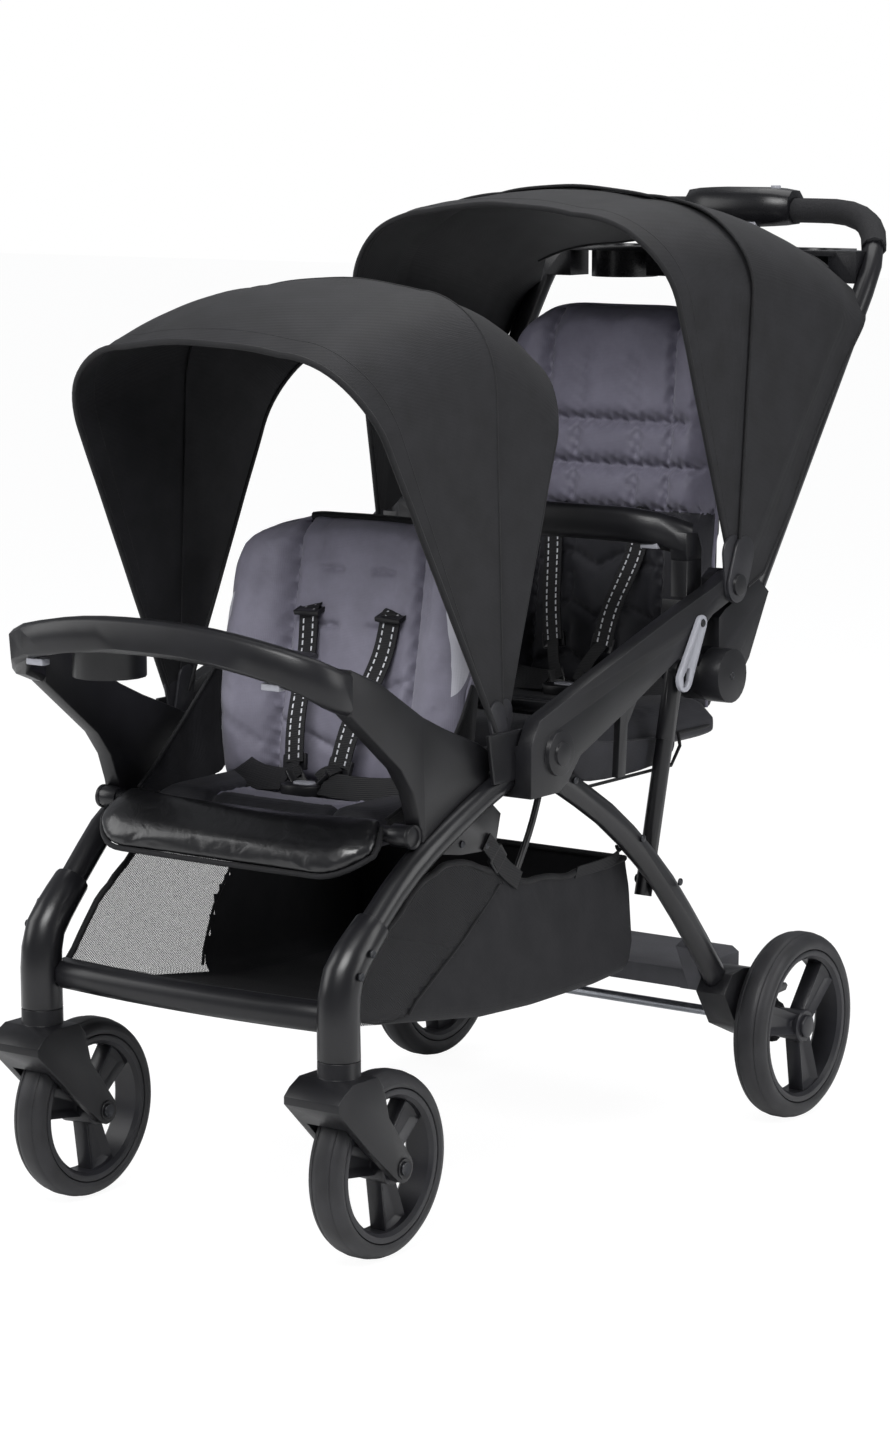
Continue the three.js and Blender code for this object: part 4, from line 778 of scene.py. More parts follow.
def stuffed(piece, cap, voxel=5.0):
    """Swell a shell by cloth simulation with pressure inside, by no more than a cap in mm."""
    modified(piece, "REMESH", mode="VOXEL", voxel_size=voxel / 1000)
    modified(piece, "SMOOTH", iterations=3)
    rest = np.array([v.co for v in piece.data.vertices], float)
    cloth = piece.modifiers.new("stuffing", "CLOTH")
    cloth.settings.quality = 4
    cloth.settings.use_pressure = True
    cloth.settings.uniform_pressure_force = 4.0
    cloth.settings.effector_weights.gravity = 0
    cloth.settings.tension_stiffness = 12
    cloth.settings.bending_stiffness = 0.6
    cloth.point_cache.frame_start = 1
    cloth.point_cache.frame_end = 20
    for step in range(1, 21):
        bpy.context.scene.frame_set(step)
    seen = piece.evaluated_get(bpy.context.evaluated_depsgraph_get())
    moved = np.array([v.co for v in seen.data.vertices], float)
    piece.modifiers.remove(cloth)
    bpy.context.scene.frame_set(1)
    away = moved - rest
    far = np.linalg.norm(away, axis=1, keepdims=True)
    rest = rest + away * np.minimum(1, cap / 1000 / np.maximum(far, 1e-9))
    piece.data.vertices.foreach_set("co", rest.ravel())
    modified(piece, "SUBSURF", levels=1, render_levels=1)
    smooth(piece, 180)


class Board:
    """Local directions of a pad: across (x), along its length, and out of its front face."""

    def __init__(self, origin, lean):
        self.origin = Vector(origin)
        turn = math.radians(lean)
        self.along = Vector((0, math.sin(turn), math.cos(turn)))
        self.out = Vector((0, -math.cos(turn), math.sin(turn)))

    def place(self, x, s, d):
        p = self.origin + self.along * s + self.out * d
        return at(self.origin.x + x, p.y, p.z)

    def read(self, mesh):
        co = np.array([v.co for v in mesh.vertices], float) * 1000
        co[:, 1] += SHIFT_Y
        rel = co - np.array(self.origin)
        return rel[:, 0], rel @ np.array(self.along), rel @ np.array(self.out)


def sew(piece, board, seams):
    """Sink seams into a pad's front: (distance function of x and s, depth, half width in mm)."""
    mesh = piece.data
    x, s, d = board.read(mesh)
    normals = np.array([v.normal for v in mesh.vertices], float)
    front = np.clip((normals @ np.array(board.out) - 0.15) / 0.3, 0, 1)
    co = np.array([v.co for v in mesh.vertices], float)
    sink = np.zeros(len(co))
    for distance, depth, width in seams:
        gap = np.abs(distance(x, s))
        sink = np.maximum(sink, depth * np.exp(-((gap / width) ** 1.4)))
    puckers = 1 + 0.25 * np.sin(x * 0.42 + s * 0.13) * np.sin(s * 0.37 - x * 0.11)
    co -= np.outer(sink * puckers * front / 1000, np.array(board.out))
    mesh.vertices.foreach_set("co", co.ravel())
    mesh.update()


def segment(ax, ay, bx, by):
    """Distance to a straight seam between two points of a pad."""
    a, b = np.array((ax, ay), float), np.array((bx, by), float)

    def distance(x, s):
        p = np.stack([x, s], axis=1) - a
        ahead = b - a
        share = np.clip(p @ ahead / (ahead @ ahead), 0, 1)
        return np.linalg.norm(p - share[:, None] * ahead, axis=1)

    return distance


def mirrored(line, depth, width):
    ax, ay, bx, by = line
    return [(segment(ax, ay, bx, by), depth, width), (segment(-ax, ay, -bx, by), depth, width)]


def pad_shell(name, board, half_width, top_at, front_at, back=0.0, rows=25, foot=0.0):
    """A closed pad: its top edge and its front are functions, its corners are rounded off."""
    front_rows, back_rows = [], []
    for i in range(rows):
        v = i / (rows - 1)
        front_row, back_row = [], []
        for j in range(31):
            u = -1 + j / 15
            x = u * half_width
            s = foot + (top_at(x) - foot) * v
            rim = min((1 - abs(u)) * half_width, (1 - abs(2 * v - 1)) * (top_at(x) - foot) / 2)
            round_off = math.sqrt(min(1.0, max(0.0, rim / 14.0)))
            front_row.append(board.place(x, s, back + (front_at(x, s) - back) * (0.5 + 0.5 * round_off)))
            back_row.append(board.place(x, s, back))
        front_rows.append(front_row)
        back_rows.append(back_row)
    return closed_shell(name, front_rows, back_rows)


def soft(piece, finish, body, node=None):
    dressed(piece, finish, body, node)


def second_cloth(piece, cloth, index, chosen):
    """Add a cloth to a piece, for the faces that a test picks."""
    piece.data.materials.append(cloth)
    for face in piece.data.polygons:
        if chosen(face):
            face.material_index = index


# %% [markdown]
# Piping follows the seam round a cushion's rim. It has to lie on the stuffed shape, so this
# helper reads the finished mesh: in each direction from the middle it takes the point that
# lies farthest out, then evens the line.

# %% Rim of a finished pad
def rim_line(piece, board, middle, start, end, count, out=0.6):
    x, s, d = board.read(piece.data)
    turn = np.degrees(np.arctan2(s - middle, x))
    reach = np.hypot(x, s - middle)
    line = []
    for angle in np.linspace(start, end, count):
        gap = np.abs((turn - angle + 180) % 360 - 180)
        near = np.where(gap < 3.0)[0]
        best = near[np.argsort(reach[near])[-4:]]
        line.append([x[best].mean(), s[best].mean(), d[best].mean()])
    line = np.array(line)
    for _ in range(3):
        line[1:-1] = (line[:-2] + 2 * line[1:-1] + line[2:]) / 4
    away = line[:, :2] - np.array((0, middle))
    line[:, :2] += away / np.linalg.norm(away, axis=1, keepdims=True) * out
    return [board.place(*p) for p in line]


# %% [markdown]
# The front back rest has a flat middle panel between two side bolsters. The bolsters are
# fuller, curve forwards, and end in round shoulders lower than the panel. Two pairs of
# stitched harness slots cross the panel, and two shallow seams cross its lower part.

# %% Front back rest
front_board = Board((0, 212, 430), 9.6)


def front_top(x):
    t = max(0.0, (abs(x) - 84) / 70)
    return 296 if t <= 0 else 290 - 118 * (1 - math.sqrt(max(0.0, 1 - min(1, t) ** 2.4)))


def front_depth(x, s):
    bolster = 36 * math.exp(-(((abs(x) - 132) / 32) ** 2)) * min(1.0, 0.45 + s / 260)
    lumbar = 5 * math.exp(-(((s - 60) / 60) ** 2))
    return 14 + bolster + lumbar


front_back = pad_shell("front_back_rest_pad", front_board, 163, front_top, front_depth, back=-6, foot=-10)
stuffed(front_back, 8)
sew(front_back, front_board, [
    *mirrored((86, 8, 84, 292), 18, 6),
    *mirrored((22, 232, 50, 232), 6, 4),
    *mirrored((22, 172, 50, 172), 7, 4),
    *mirrored((50, 172, 50, 288), 2.0, 9),
    (segment(-84, 112, 20, 96), 6, 5),
    (segment(20, 96, 84, 122), 6, 5),
    *mirrored((84, 66, 0, 40), 6, 5),
    *mirrored((84, 30, 150, 66), 3, 7),
    *mirrored((104, 292, 112, 180), 2.0, 8),
])
soft(front_back, seat_cloth, "front_back", "front_seat_back")
# The bolsters take the cloth with the painted highlight.
second_cloth(front_back, highlit_cloth, 1, lambda f: abs(f.center.x) > 0.128)
second_cloth(front_back, panel_cloth, 2, lambda f: f.normal.dot(front_board.out) < -0.35)
trim = rim_line(front_back, front_board, 150, 62, 118, 30, 1.5)
piping("front_back_rest_top_trim", trim, 4.6, "front_back")
for side, start, end in (("left", -55, 62), ("right", 118, 235)):
    rim = rim_line(front_back, front_board, 150, start, end, 60)
    name = f"front_back_rest_piping_{side}"
    edge = cord_mesh(name, rim, 0.0021, seat_cloth, "front_back")
    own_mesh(edge)
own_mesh(front_back)

# %% Front seat cushion
front_seat_board = Board((0, 60, 407), 90)
front_seat_board.along, front_seat_board.out = Vector((0, 1, 0)), Vector((0, 0, 1))
front_pan = pad_shell(
    "front_seat_cushion", front_seat_board, 160, lambda x: 146,
    lambda x, s: 24 + 6 * math.exp(-(((abs(x) - 122) / 34) ** 2)), back=0, foot=0, rows=15,
)
stuffed(front_pan, 5)
sew(front_pan, front_seat_board, [*mirrored((80, 6, 80, 140), 6, 5), (segment(-78, 72, 78, 72), 4, 6)])
soft(front_pan, seat_cloth, "frame", "front_seat_pan")
second_cloth(front_pan, panel_cloth, 1, lambda f: abs(f.center.x) > 0.082 or f.center.y < at(0, 92, 0).y)

# %% [markdown]
# The calf rest hangs in front: a thin padded board in glossy coated cloth, crowned on top,
# with round front corners and piping along its edge, hooked over the bar.

# %% Calf rest
CALF_Y = (-12, 4, 20, 36, 52)
CALF_Z = (386, 399, 411, 423, 434)


def calf_point(u, v, top):
    """A point of the pad's upper or lower face, u across and v from its front to the bar."""
    y, z = (np.interp(v, np.linspace(0, 1, 5), line) for line in (CALF_Y, CALF_Z))
    half = 178 - 12 * max(0.0, (v - 0.45) / 0.55)
    corner = max(0.0, (abs(u) - 0.7) / 0.3)
    slide = (1 - v) ** 2 * 30 * corner**2.4
    rim = min((1 - abs(u)) * half, v * 80 + 0.01, (1 - v) * 80 + 1)
    crown = min(1.0, math.sqrt(max(0.0, rim / 26.0)))
    lift = 2.5 + 10.5 * crown if top else -3.5 - 3 * crown
    bow = -4.0 * (1 - u * u)
    return at(u * half, y + slide - 0.62 * lift + bow, z + 0.7 * slide + 0.78 * lift)


def calf_rows(top):
    return [[calf_point(-1 + 2 * j / 40, i / 12, top) for j in range(41)] for i in range(13)]


calf = closed_shell("calf_rest_pad", calf_rows(True), calf_rows(False))
stuffed(calf, 3, voxel=4.0)
soft(calf, coated_cloth, "calf", "calf_rest")
rim = [(-1, v) for v in np.linspace(0.9, 0.05, 9)] + [(u, 0.0) for u in np.linspace(-1, 1, 41)]
rim += [(1, v) for v in np.linspace(0.05, 0.9, 9)]
points = [calf_point(u, v, True) * 0.5 + calf_point(u, v, False) * 0.5 for u, v in rim]
piping("calf_rest_piping", points, 3, "calf")

# %% [markdown]
# The rear back rest is taller, in slate grey. Seams run down beside the bolsters and across
# the shoulders; two rows of quilted channels cross it at elbow height, and below the bar the
# quilting turns into a honeycomb of slanted seams.

# %% Rear back rest
rear_board = Board((0, 706, 456), 5.9)


def rear_top(x):
    t = max(0.0, (abs(x) - 78) / 72)
    return 474 if t <= 0 else 472 - 92 * (1 - math.sqrt(max(0.0, 1 - min(1, t) ** 1.8)))


def rear_depth(x, s):
    bolster = 12 * math.exp(-(((abs(x) - 122) / 30) ** 2))
    rolls = 3.5 * math.exp(-(((s - 235) / 50) ** 2))
    return 24 + bolster + rolls


rear_back = pad_shell("rear_back_rest_pad", rear_board, 150, rear_top, rear_depth, back=-5, foot=6, rows=33)
stuffed(rear_back, 8)
honeycomb = []
for level in (44, 104, 164):
    honeycomb += mirrored((0, level, 34, level + 18), 6, 5)
    honeycomb += mirrored((34, level + 18, 84, level + 2), 6, 5)
    honeycomb += mirrored((34, level + 18, 34, level + 50), 4, 5)
sew(rear_back, rear_board, [
    *mirrored((86, 334, 84, 472), 13, 6),
    *mirrored((88, 8, 86, 232), 12, 6),
    (segment(-110, 334, 110, 334), 15, 8),
    (segment(-148, 283, 148, 283), 16, 8),
    (segment(-148, 233, 148, 233), 14, 8),
    *mirrored((42, 233, 42, 334), 8, 8),
    *mirrored((88, 233, 88, 334), 10, 7),
    *mirrored((40, 334, 34, 400), 4.0, 12),
    *honeycomb,
])
soft(rear_back, slate_cloth, "rear_back", "rear_seat_back")
_, height, _ = rear_board.read(rear_back.data)
# Painted shade: the lower part of the pad, below 233 mm, lies in shadow, so it takes the darker charcoal
# cloth.
second_cloth(rear_back, panel_cloth, 1, lambda f: height[list(f.vertices)].mean() < 233)
second_cloth(rear_back, panel_cloth, 2, lambda f: f.normal.dot(rear_board.out) < -0.35)
rear_rim = rim_line(rear_back, rear_board, 240, -60, 240, 120)
cord_mesh("rear_back_rest_piping", rear_rim, 0.0024, slate_cloth, "rear_back")

# %% [markdown]
# The standing child's seat is charcoal: a cushion on a board, with a padded panel on each side
# that hangs below it and reaches forwards to a tube between the rails.

# %% Rear seat cushion, side panels and tube
rear_seat_board = Board((0, 398, 455), 90)
rear_seat_board.along, rear_seat_board.out = Vector((0, 1, 0)), Vector((0, 0, 1))
rear_pan = pad_shell(
    "rear_seat_cushion", rear_seat_board, 166, lambda x: 298,
    lambda x, s: 22 + 5 * math.exp(-(((abs(x) - 116) / 40) ** 2)), back=-14, foot=0, rows=25,
)
stuffed(rear_pan, 4)
sew(rear_pan, rear_seat_board, [
    *mirrored((86, 8, 86, 290), 7, 5),
    (segment(-84, 90, 84, 90), 5, 6),
    (segment(-84, 180, 84, 180), 5, 6),
])
soft(rear_pan, panel_cloth, "frame", "rear_seat_pan")
cushion_rim = rim_line(rear_pan, rear_seat_board, 150, -180, 180, 90)
piping("rear_seat_cushion_piping", cushion_rim[:-1], 2.2, "frame", closed=True)

PANEL_EDGE = np.array([
    (384, 440), (398, 420), (584, 420), (602, 440), (598, 456), (424, 458), (350, 512), (330, 516),
    (326, 506),
], float)
PANEL_MIDDLE = PANEL_EDGE.mean(axis=0)
PANEL_LAYERS = ((158.6, 0.1), (159, 0.9), (160, 1.0), (171, 1.0), (173.5, 0.86), (174, 0.55), (174, 0.1))
for side, sign in SIDES:
    shells = []
    for x, share in PANEL_LAYERS:
        shells.append([at(sign * x, *(PANEL_MIDDLE + (p - PANEL_MIDDLE) * share)) for p in PANEL_EDGE])
    panel = grid_mesh(f"rear_seat_side_{side}", shells, closed=True)
    edited(panel, (bpy.ops.mesh.fill_holes, {"sides": len(PANEL_EDGE)}))
    outward(panel)
    modified(panel, "SUBSURF", levels=2, render_levels=2)
    smooth(panel, 60)
    soft(panel, panel_cloth, "frame")
    edge = [at(sign * 172.4, *p) for p in PANEL_EDGE[:5]]
    piping(f"rear_seat_side_piping_{side}", edge, 2, "frame")
tube = [at(x, 335, 516) for x in (-221, -180, -172, 172, 180, 221)]
cord_mesh("rear_seat_front_tube", tube, 0.0088, painted_tube, "frame", sides=24)
pads = (front_back, front_pan, calf, rear_back, rear_pan)
print("cushion points:", sum(len(o.data.vertices) for o in pads))
# %% [markdown]
# Wheels: the tyre is a ring of foamed EVA with a rounded crown and a soft shoulder. Its
# section is drawn once, as points across the tread and out from the axle, and the spin tool
# turns it round the axle.

# %% Tyres spun from their section
def spun(name, section, x, centre, steps=96):
    points = [at(x + across, centre[0], centre[1] + out) for across, out in section]
    piece = mesh_piece(name, points, [(i, (i + 1) % len(points)) for i in range(len(points))], [])
    turn = {"steps": steps, "angle": 2 * math.pi, "center": at(x, *centre), "axis": (1, 0, 0)}
    outwards = (bpy.ops.mesh.normals_make_consistent, {"inside": False})
    edited(piece, (bpy.ops.mesh.spin, turn), merge(0.00002), outwards)
    return piece


def tyre_section(seat, radius, half=20):
    side = [
        (half - 4, seat),
        (half - 1.2, seat + 1.2),
        (half, seat + 4.5),
        (half, radius - 12),
        (half - 1.4, radius - 7),
        (half - 4.5, radius - 3.4),
        (half - 8.5, radius - 1.5),
        (half - 9.3, radius - 2.3),
        (half - 10.1, radius - 1.3),
        (half * 0.25, radius - 0.1),
    ]
    return side + [(-a, r) for a, r in reversed(side)]


FRONT_AXLE = (0.0, 96.5)
REAR_AXLE = (721.0, 107.5)
WHEELS = {
    "front": {"x": 195.0, "centre": FRONT_AXLE, "radius": 96.5, "seat": 78.9, "hub_out": 21.6, "arm": 10.0},
    "rear": {"x": 254.4, "centre": REAR_AXLE, "radius": 107.5, "seat": 87.7, "hub_out": 17.0, "arm": 14.0},
}
for end, wheel in WHEELS.items():
    for side, sign in SIDES:
        node = f"{end}_tyre_{side}"
        section = tyre_section(wheel["seat"], wheel["radius"])
        tyre = spun(node + "_spun", section, sign * wheel["x"], wheel["centre"])
        smooth(tyre, 38)
        dressed(tyre, tyre_eva, NODES[node]["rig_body"], node=node)
print("tyre points:", len(tyre.data.vertices))

# %% [markdown]
# The wheel centre is one moulding: a barrel under the tyre, a hub, and three broad arms. Each
# arm is split by a long recess into two rails. An arm starts as a cube; its inner end is
# narrowed, then the outer face is inset and pushed in, which leaves the rails standing. The
# front wheels have the recess on both faces.

# %% Wheel centres
RAIL = 0.0085
RECESS = 0.0062


def split_arm(hub, low, high, outer, sign, both):
    """An arm standing up from the hub, from low to high across the wheel, in mm."""
    bpy.ops.mesh.primitive_cube_add(size=1, location=hub)
    arm = bpy.context.object
    bpy.ops.object.transform_apply(location=True)
    for vertex in arm.data.vertices:
        p = vertex.co - hub
        half, height = (18, outer) if p.z > 0 else (11, 12)
        across = high if p.x * sign > 0 else low
        vertex.co = hub + Vector((sign * across, math.copysign(half, p.y), height)) / 1000
    for way in (sign, -sign) if both else (sign,):
        push_face(arm, lambda f: f.normal.x * way > 0.9 and f.area > 0.0004, RAIL, (-way * RECESS, 0, 0))
    return arm


def wheel_centre(name, sign, wheel, node, both):
    x, centre, seat = sign * wheel["x"], wheel["centre"], wheel["seat"] - 0.3
    barrel = [(-18, seat), (18, seat), (18.6, seat - 1.5), (18, seat - 6), (14, seat - 9.5)]
    barrel += [(-14, seat - 9.5), (-18, seat - 6), (-18.6, seat - 1.5)]
    hub_out = wheel["hub_out"] * sign
    hub = [(-21.6 * sign, 6.4), (-21.6 * sign, 15), (-20 * sign, 17)]
    hub += [(hub_out - 1.5 * sign, 19), (hub_out, 17.5), (hub_out, 6.4)]
    piece = spun(name, barrel, x, centre, steps=72)
    parts = [spun(name + "_hub", hub, x, centre, steps=48)]
    middle = at(x, *centre)
    for turn in (-45, 75, 195):
        arm = split_arm(middle, -wheel["arm"] if both else -6.0, wheel["arm"], seat - 7, sign, both)
        spin = Matrix.Rotation(math.radians(turn), 4, "X")
        arm.data.transform(Matrix.Translation(middle) @ spin @ Matrix.Translation(-middle))
        bevelled(arm, 1.4)
        parts.append(arm)
    joined(piece, parts)
    smooth(piece)
    dressed(piece, hub_plastic, NODES[node]["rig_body"], node=node)


for end, wheel in WHEELS.items():
    for side, sign in SIDES:
        wheel_centre(f"{end}_wheel_centre_{side}", sign, wheel, f"{end}_rim_{side}", end == "front")

# %% [markdown]
# Small round hardware: hub caps, axle bolts, rivets and screws are all a short cylinder whose
# outer face is inset and raised or sunk, with a bevelled rim. One helper makes them, facing
# along X, and each use gives its size and whether the middle stands up or is a recess.

# %% Round hardware
# finish, slot, radius, depth, how far the middle stands out, width of its ring: all in mm
HEADS = {
    "hub_cap": (hub_plastic, "wheel_plastic", 13, 4, 0.9, 3),
    "washer": (black_plastic, "moulding", 11, 2.6, -0.8, 2.2),
    "bolt": (dark_zinc, "axle_steel", 7, 3.4, -1.6, 3),
    "gusset_bolt": (dark_zinc, "axle_steel", 4.0, 2.0, 0.5, 1.4),
    "leg_screw": (dark_zinc, "axle_steel", 4.4, 2.4, -0.8, 1.4),
    "leg_rivet": (dark_zinc, "axle_steel", 4.2, 2.0, 0.6, 1.4),
    "disc_screw": (dark_zinc, "axle_steel", 4.2, 2.0, -0.9, 1.3),
    "knob": (black_plastic, "moulding", 12.4, 5.0, -2.2, 3.2),
}


def round_head(name, kind, x, y, z, body, way):
    finish, slot, radius, depth, rise, ring = HEADS[kind]
    place = at(x + way * min(0, rise), y, z)
    bpy.ops.mesh.primitive_cylinder_add(
        vertices=32, radius=radius / 1000, depth=depth / 1000, location=place, rotation=(0, math.pi / 2, 0)
    )
    head = bpy.context.object
    head.name = name
    bpy.ops.object.transform_apply(location=True, rotation=True, scale=True)
    push_face(head, lambda f: f.normal.x * way > 0.9, ring / 1000, (way * rise / 1000, 0, 0))
    bevelled(head, min(0.8, radius / 8))
    smooth(head)
    dressed(head, finish, body)


for side, sign in SIDES:
    hub_body = NODES[f"rear_rim_{side}"]["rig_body"]
    round_head(f"rear_hub_cap_{side}", "hub_cap", sign * 273.0, *REAR_AXLE, hub_body, sign)
    fork = NODES[f"caster_fork_{side}"]["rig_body"]
    for way, where in ((1, "outer"), (-1, "inner")):
        x = sign * 195 + way * 35.2
        round_head(f"front_axle_washer_{side}_{where}", "washer", x, *FRONT_AXLE, fork, way)
        round_head(f"front_axle_bolt_{side}_{where}", "bolt", x + way * 1.6, *FRONT_AXLE, fork, way)
    leg = NODES[f"rear_leg_{side}"]["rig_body"]
    for stem, kind, x, places, body in (
        ("gusset_bolt", "gusset_bolt", 190.8, ((118, 405), (154, 399), (197, 391)), "frame"),
        ("front_leg_screw", "leg_screw", 219.2, ((-38, 322), (-57, 302)), "frame"),
        ("rear_leg_rivet", "leg_rivet", 221.6, ((317, 446), (450, 363), (527, 302)), leg),
    ):
        for number, place in enumerate(places):
            round_head(f"{stem}_{side}_{number}", kind, sign * x, *place, body, sign)
    hinge = NODES[f"fold_hinge_{side}"]["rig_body"]
    round_head(f"disc_screw_{side}", "disc_screw", sign * 262.6, 566, 531, hinge, sign)
    round_head(f"calf_bar_knob_{side}", "knob", sign * 205.4, 50, 424, "frame", sign)

# %% [markdown]
# The basket is one sewn tub. Its section is a U with round lower corners, carried along the
# stroller while its rim and floor follow the side outline; the ends are filled between the two
# halves of the U. Forward of a slanting seam it is net, behind it cloth, so faces are given
# the second material by where they lie.

# %% Basket
# y and z of the rim and the floor; z and y of the rear edge and of each side's seam
RIM_LINE = np.array([
    (-33, 262), (0, 303), (46, 342), (86, 366), (126, 382), (181, 374), (237, 354), (268, 343),
    (330, 335), (469, 332),
], float)
FLOOR_LINE = np.array([(-33, 239), (95, 220), (210, 203), (304, 198), (423, 198), (477, 202)], float)
REAR_LINE = np.array([(200, 476), (238, 486), (300, 478), (333, 468)], float)
NET_SEAM = {
    1: np.array([(200, 30), (247, 77), (297, 161), (352, 240), (390, 262)], float),
    -1: np.array([(197, 188), (232, 194), (280, 214), (344, 262)], float),
}
BASKET_HALF = 184.0
BASKET_FRONT = -33


def read_line(line, value):
    return np.interp(value, line[:, 0], line[:, 1])


def basket_section(u):
    """Points of the U from the left rim round to the right one, for a share u of the length."""
    rough = BASKET_FRONT + u * 505
    top, base = read_line(RIM_LINE, rough), read_line(FLOOR_LINE, rough)
    corner = min(18.0, (top - base) * 0.45)
    half = [(BASKET_HALF, top - (top - base - corner) * k / 12) for k in range(13)]
    for k in range(1, 6):
        turn = math.pi / 2 * k / 5
        half.append((BASKET_HALF - corner * (1 - math.cos(turn)), base + corner * (1 - math.sin(turn))))
    half += [((BASKET_HALF - corner) * (1 - k / 12), base) for k in range(1, 13)]
    points = []
    for x, z in half + [(-x, z) for x, z in reversed(half[:-1])]:
        y = BASKET_FRONT + u * (read_line(REAR_LINE, z) - BASKET_FRONT)
        height = (z - base) / (top - base)
        wave = 1.6 * math.sin(y * 0.083 + z * 0.02) * max(0.0, height) ** 2
        belly = 2.0 * math.sin(math.pi * min(1.0, max(0.0, height))) * math.sin(math.pi * u)
        side = (belly - wave) if abs(x) > BASKET_HALF - 1 else 0.0
        sag = -1.5 * math.sin(math.pi * u) * (1 - (x / BASKET_HALF) ** 2) if z <= base + 0.5 else 0.0
        points.append((x + math.copysign(side, x), y, z + sag + (1.2 * wave if z > top - 0.5 else 0)))
    return points


def basket_end(row):
    """The flat end of the tub, filled between the two halves of a section."""
    rows = []
    for k in range(len(row) // 2 + 1):
        a, b = np.array(row[k]), np.array(row[-1 - k])
        rows.append([at(*(a + (b - a) * m / 16)) for m in range(17)])
    return grid_mesh("basket_end", rows)


def is_net(face):
    x, y, z = face.center.x * 1000, face.center.y * 1000 + SHIFT_Y, face.center.z * 1000
    return y < (read_line(NET_SEAM[1 if x > 0 else -1], z) if abs(x) > BASKET_HALF - 6 else 40)


sections = [basket_section(k / 52) for k in range(53)]
basket = grid_mesh("basket_tub", [[at(*p) for p in row] for row in sections])
joined(basket, [basket_end(row) for row in (sections[0], sections[-1])])
outward(basket, at(0, 220, 290))
dressed(basket, basket_cloth, NODES["basket"]["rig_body"], "basket")
second_cloth(basket, knitted_net, 1, is_net)
thicken(basket, 1.2)
smooth(basket, 50)
rim_points = [at(*row[0]) for row in sections]
rim_points += [at(x, sections[-1][0][1], sections[-1][0][2]) for x in np.linspace(170, -170, 18)]
rim_points += [at(*row[-1]) for row in reversed(sections)]
piping("basket_rim_piping", rim_points, 3.6, "frame")
for side, sign in SIDES:
    fine = []
    for z in np.arange(200, 345, 4.0):
        y = read_line(NET_SEAM[sign], z)
        if z > read_line(FLOOR_LINE, y) + 8:
            fine.append(at(sign * (BASKET_HALF + 0.9 + 2.0 * math.sin(math.pi * (z - 200) / 150)), y, z))
    piping(f"basket_seam_{side}", fine, 1.7, "frame")

# %% [markdown]
# Webbing is woven flat and 1.5 mm thick; shoulder straps are 25 mm wide. A strap is swept
# along its path as a flat section that keeps its width along a given direction. Two rows of
# white reflective stitches run along the shoulder straps: raised dashes, 5 mm long with 3 mm
# between.

# %% Straps
def strap(name, points, width, across, body=None, thickness=1.5):
    rows = []
    for i, p in enumerate(points):
        ahead = (points[min(i + 1, len(points) - 1)] - points[max(i - 1, 0)]).normalized()
        wide = Vector(across)
        wide = (wide - ahead * wide.dot(ahead)).normalized()
        thick = ahead.cross(wide)
        corners = [(-1, -1), (1, -1), (1, 1), (-1, 1)]
        rows.append([p + wide * a * width / 2000 + thick * b * thickness / 2000 for a, b in corners])
    piece = grid_mesh(name, rows, closed=True)
    edited(piece, (bpy.ops.mesh.fill_holes, {"sides": 4}))
    outward(piece)
    return dressed(piece, webbing_black, body)


def smooth_path(points, count):
    """Catmull-Rom through the points, in even shares."""
    pts = [points[0], *points, points[-1]]
    path = []
    spans = len(points) - 1
    for i in range(count):
        t = i / (count - 1) * spans
        k = min(int(t), spans - 1)
        f = t - k
        a, b, c, d = pts[k : k + 4]
        curve = (2 * a - 5 * b + 4 * c - d) * f**2 + (3 * b - a - 3 * c + d) * f**3
        path.append(0.5 * (2 * b + (c - a) * f + curve))
    return path


def stitches(name, path, across, out):
    """White dashes along a strap's path, raised on its face."""
    mesh = bmesh.new()
    run, gap, dash, half = 0.0, 3.0, 5.0, 0.8
    wide, lift = Vector(across).normalized(), Vector(out).normalized()
    for a, b in zip(path, path[1:]):
        length = (b - a).length * 1000
        ahead = (b - a).normalized()
        steps = max(1, int(length))
        for k in range(steps):
            if (run + length * k / steps) % (gap + dash) >= length / steps:
                continue
            for offset in (-6.5, 6.5):
                middle = a.lerp(b, k / steps) + wide * offset / 1000
                corners = ((0, -half), (dash, -half), (dash, half), (0, half))
                quad = [middle + ahead * u / 1000 + wide * v / 1000 for u, v in corners]
                low = [mesh.verts.new(q + lift * 0.0006) for q in quad]
                high = [mesh.verts.new(q + lift * 0.0013) for q in quad]
                mesh.faces.new(high)
                mesh.faces.new(low[::-1])
                for m, n in ((0, 1), (1, 2), (2, 3), (3, 0)):
                    mesh.faces.new([low[m], low[n], high[n], high[m]])
        run += length
    bmesh.ops.recalc_face_normals(mesh, faces=mesh.faces)
    piece = mesh_piece(name, [], [], [])
    mesh.to_mesh(piece.data)
    mesh.free()
    return dressed(piece, white_thread)


# %% [markdown]
# A slide adjuster is a small frame that the webbing threads through. A cube is flattened, its
# face inset and pushed in for the slot, and its rim bevelled. Below it a narrower tail of
# webbing runs on to the buckle tongue.

# %% Adjusters and tongues
def moulded_block(name, centre, size, along, out, body, inset=2.6, sink=1.2):
    """A bevelled block, its length along one direction and its sunk face towards another."""
    bpy.ops.mesh.primitive_cube_add(size=1, location=(0, 0, 0))
    block = bpy.context.object
    block.name = name
    along, out = along.normalized(), Vector(out)
    out = (out - along * out.dot(along)).normalized()
    for vertex in block.data.vertices:
        vertex.co = Vector([vertex.co[i] * size[i] / 1000 for i in range(3)]) - Vector((0, 0, sink / 1000))
    push_face(block, lambda f: f.normal.z > 0.9, inset / 1000, (0, 0, -sink / 1000))
    bevelled(block, 1.4, segments=3)
    turn = Matrix((along.cross(out), along, out)).transposed().to_4x4()
    block.data.transform(Matrix.Translation(centre) @ turn)
    smooth(block)
    dressed(block, black_plastic, body)


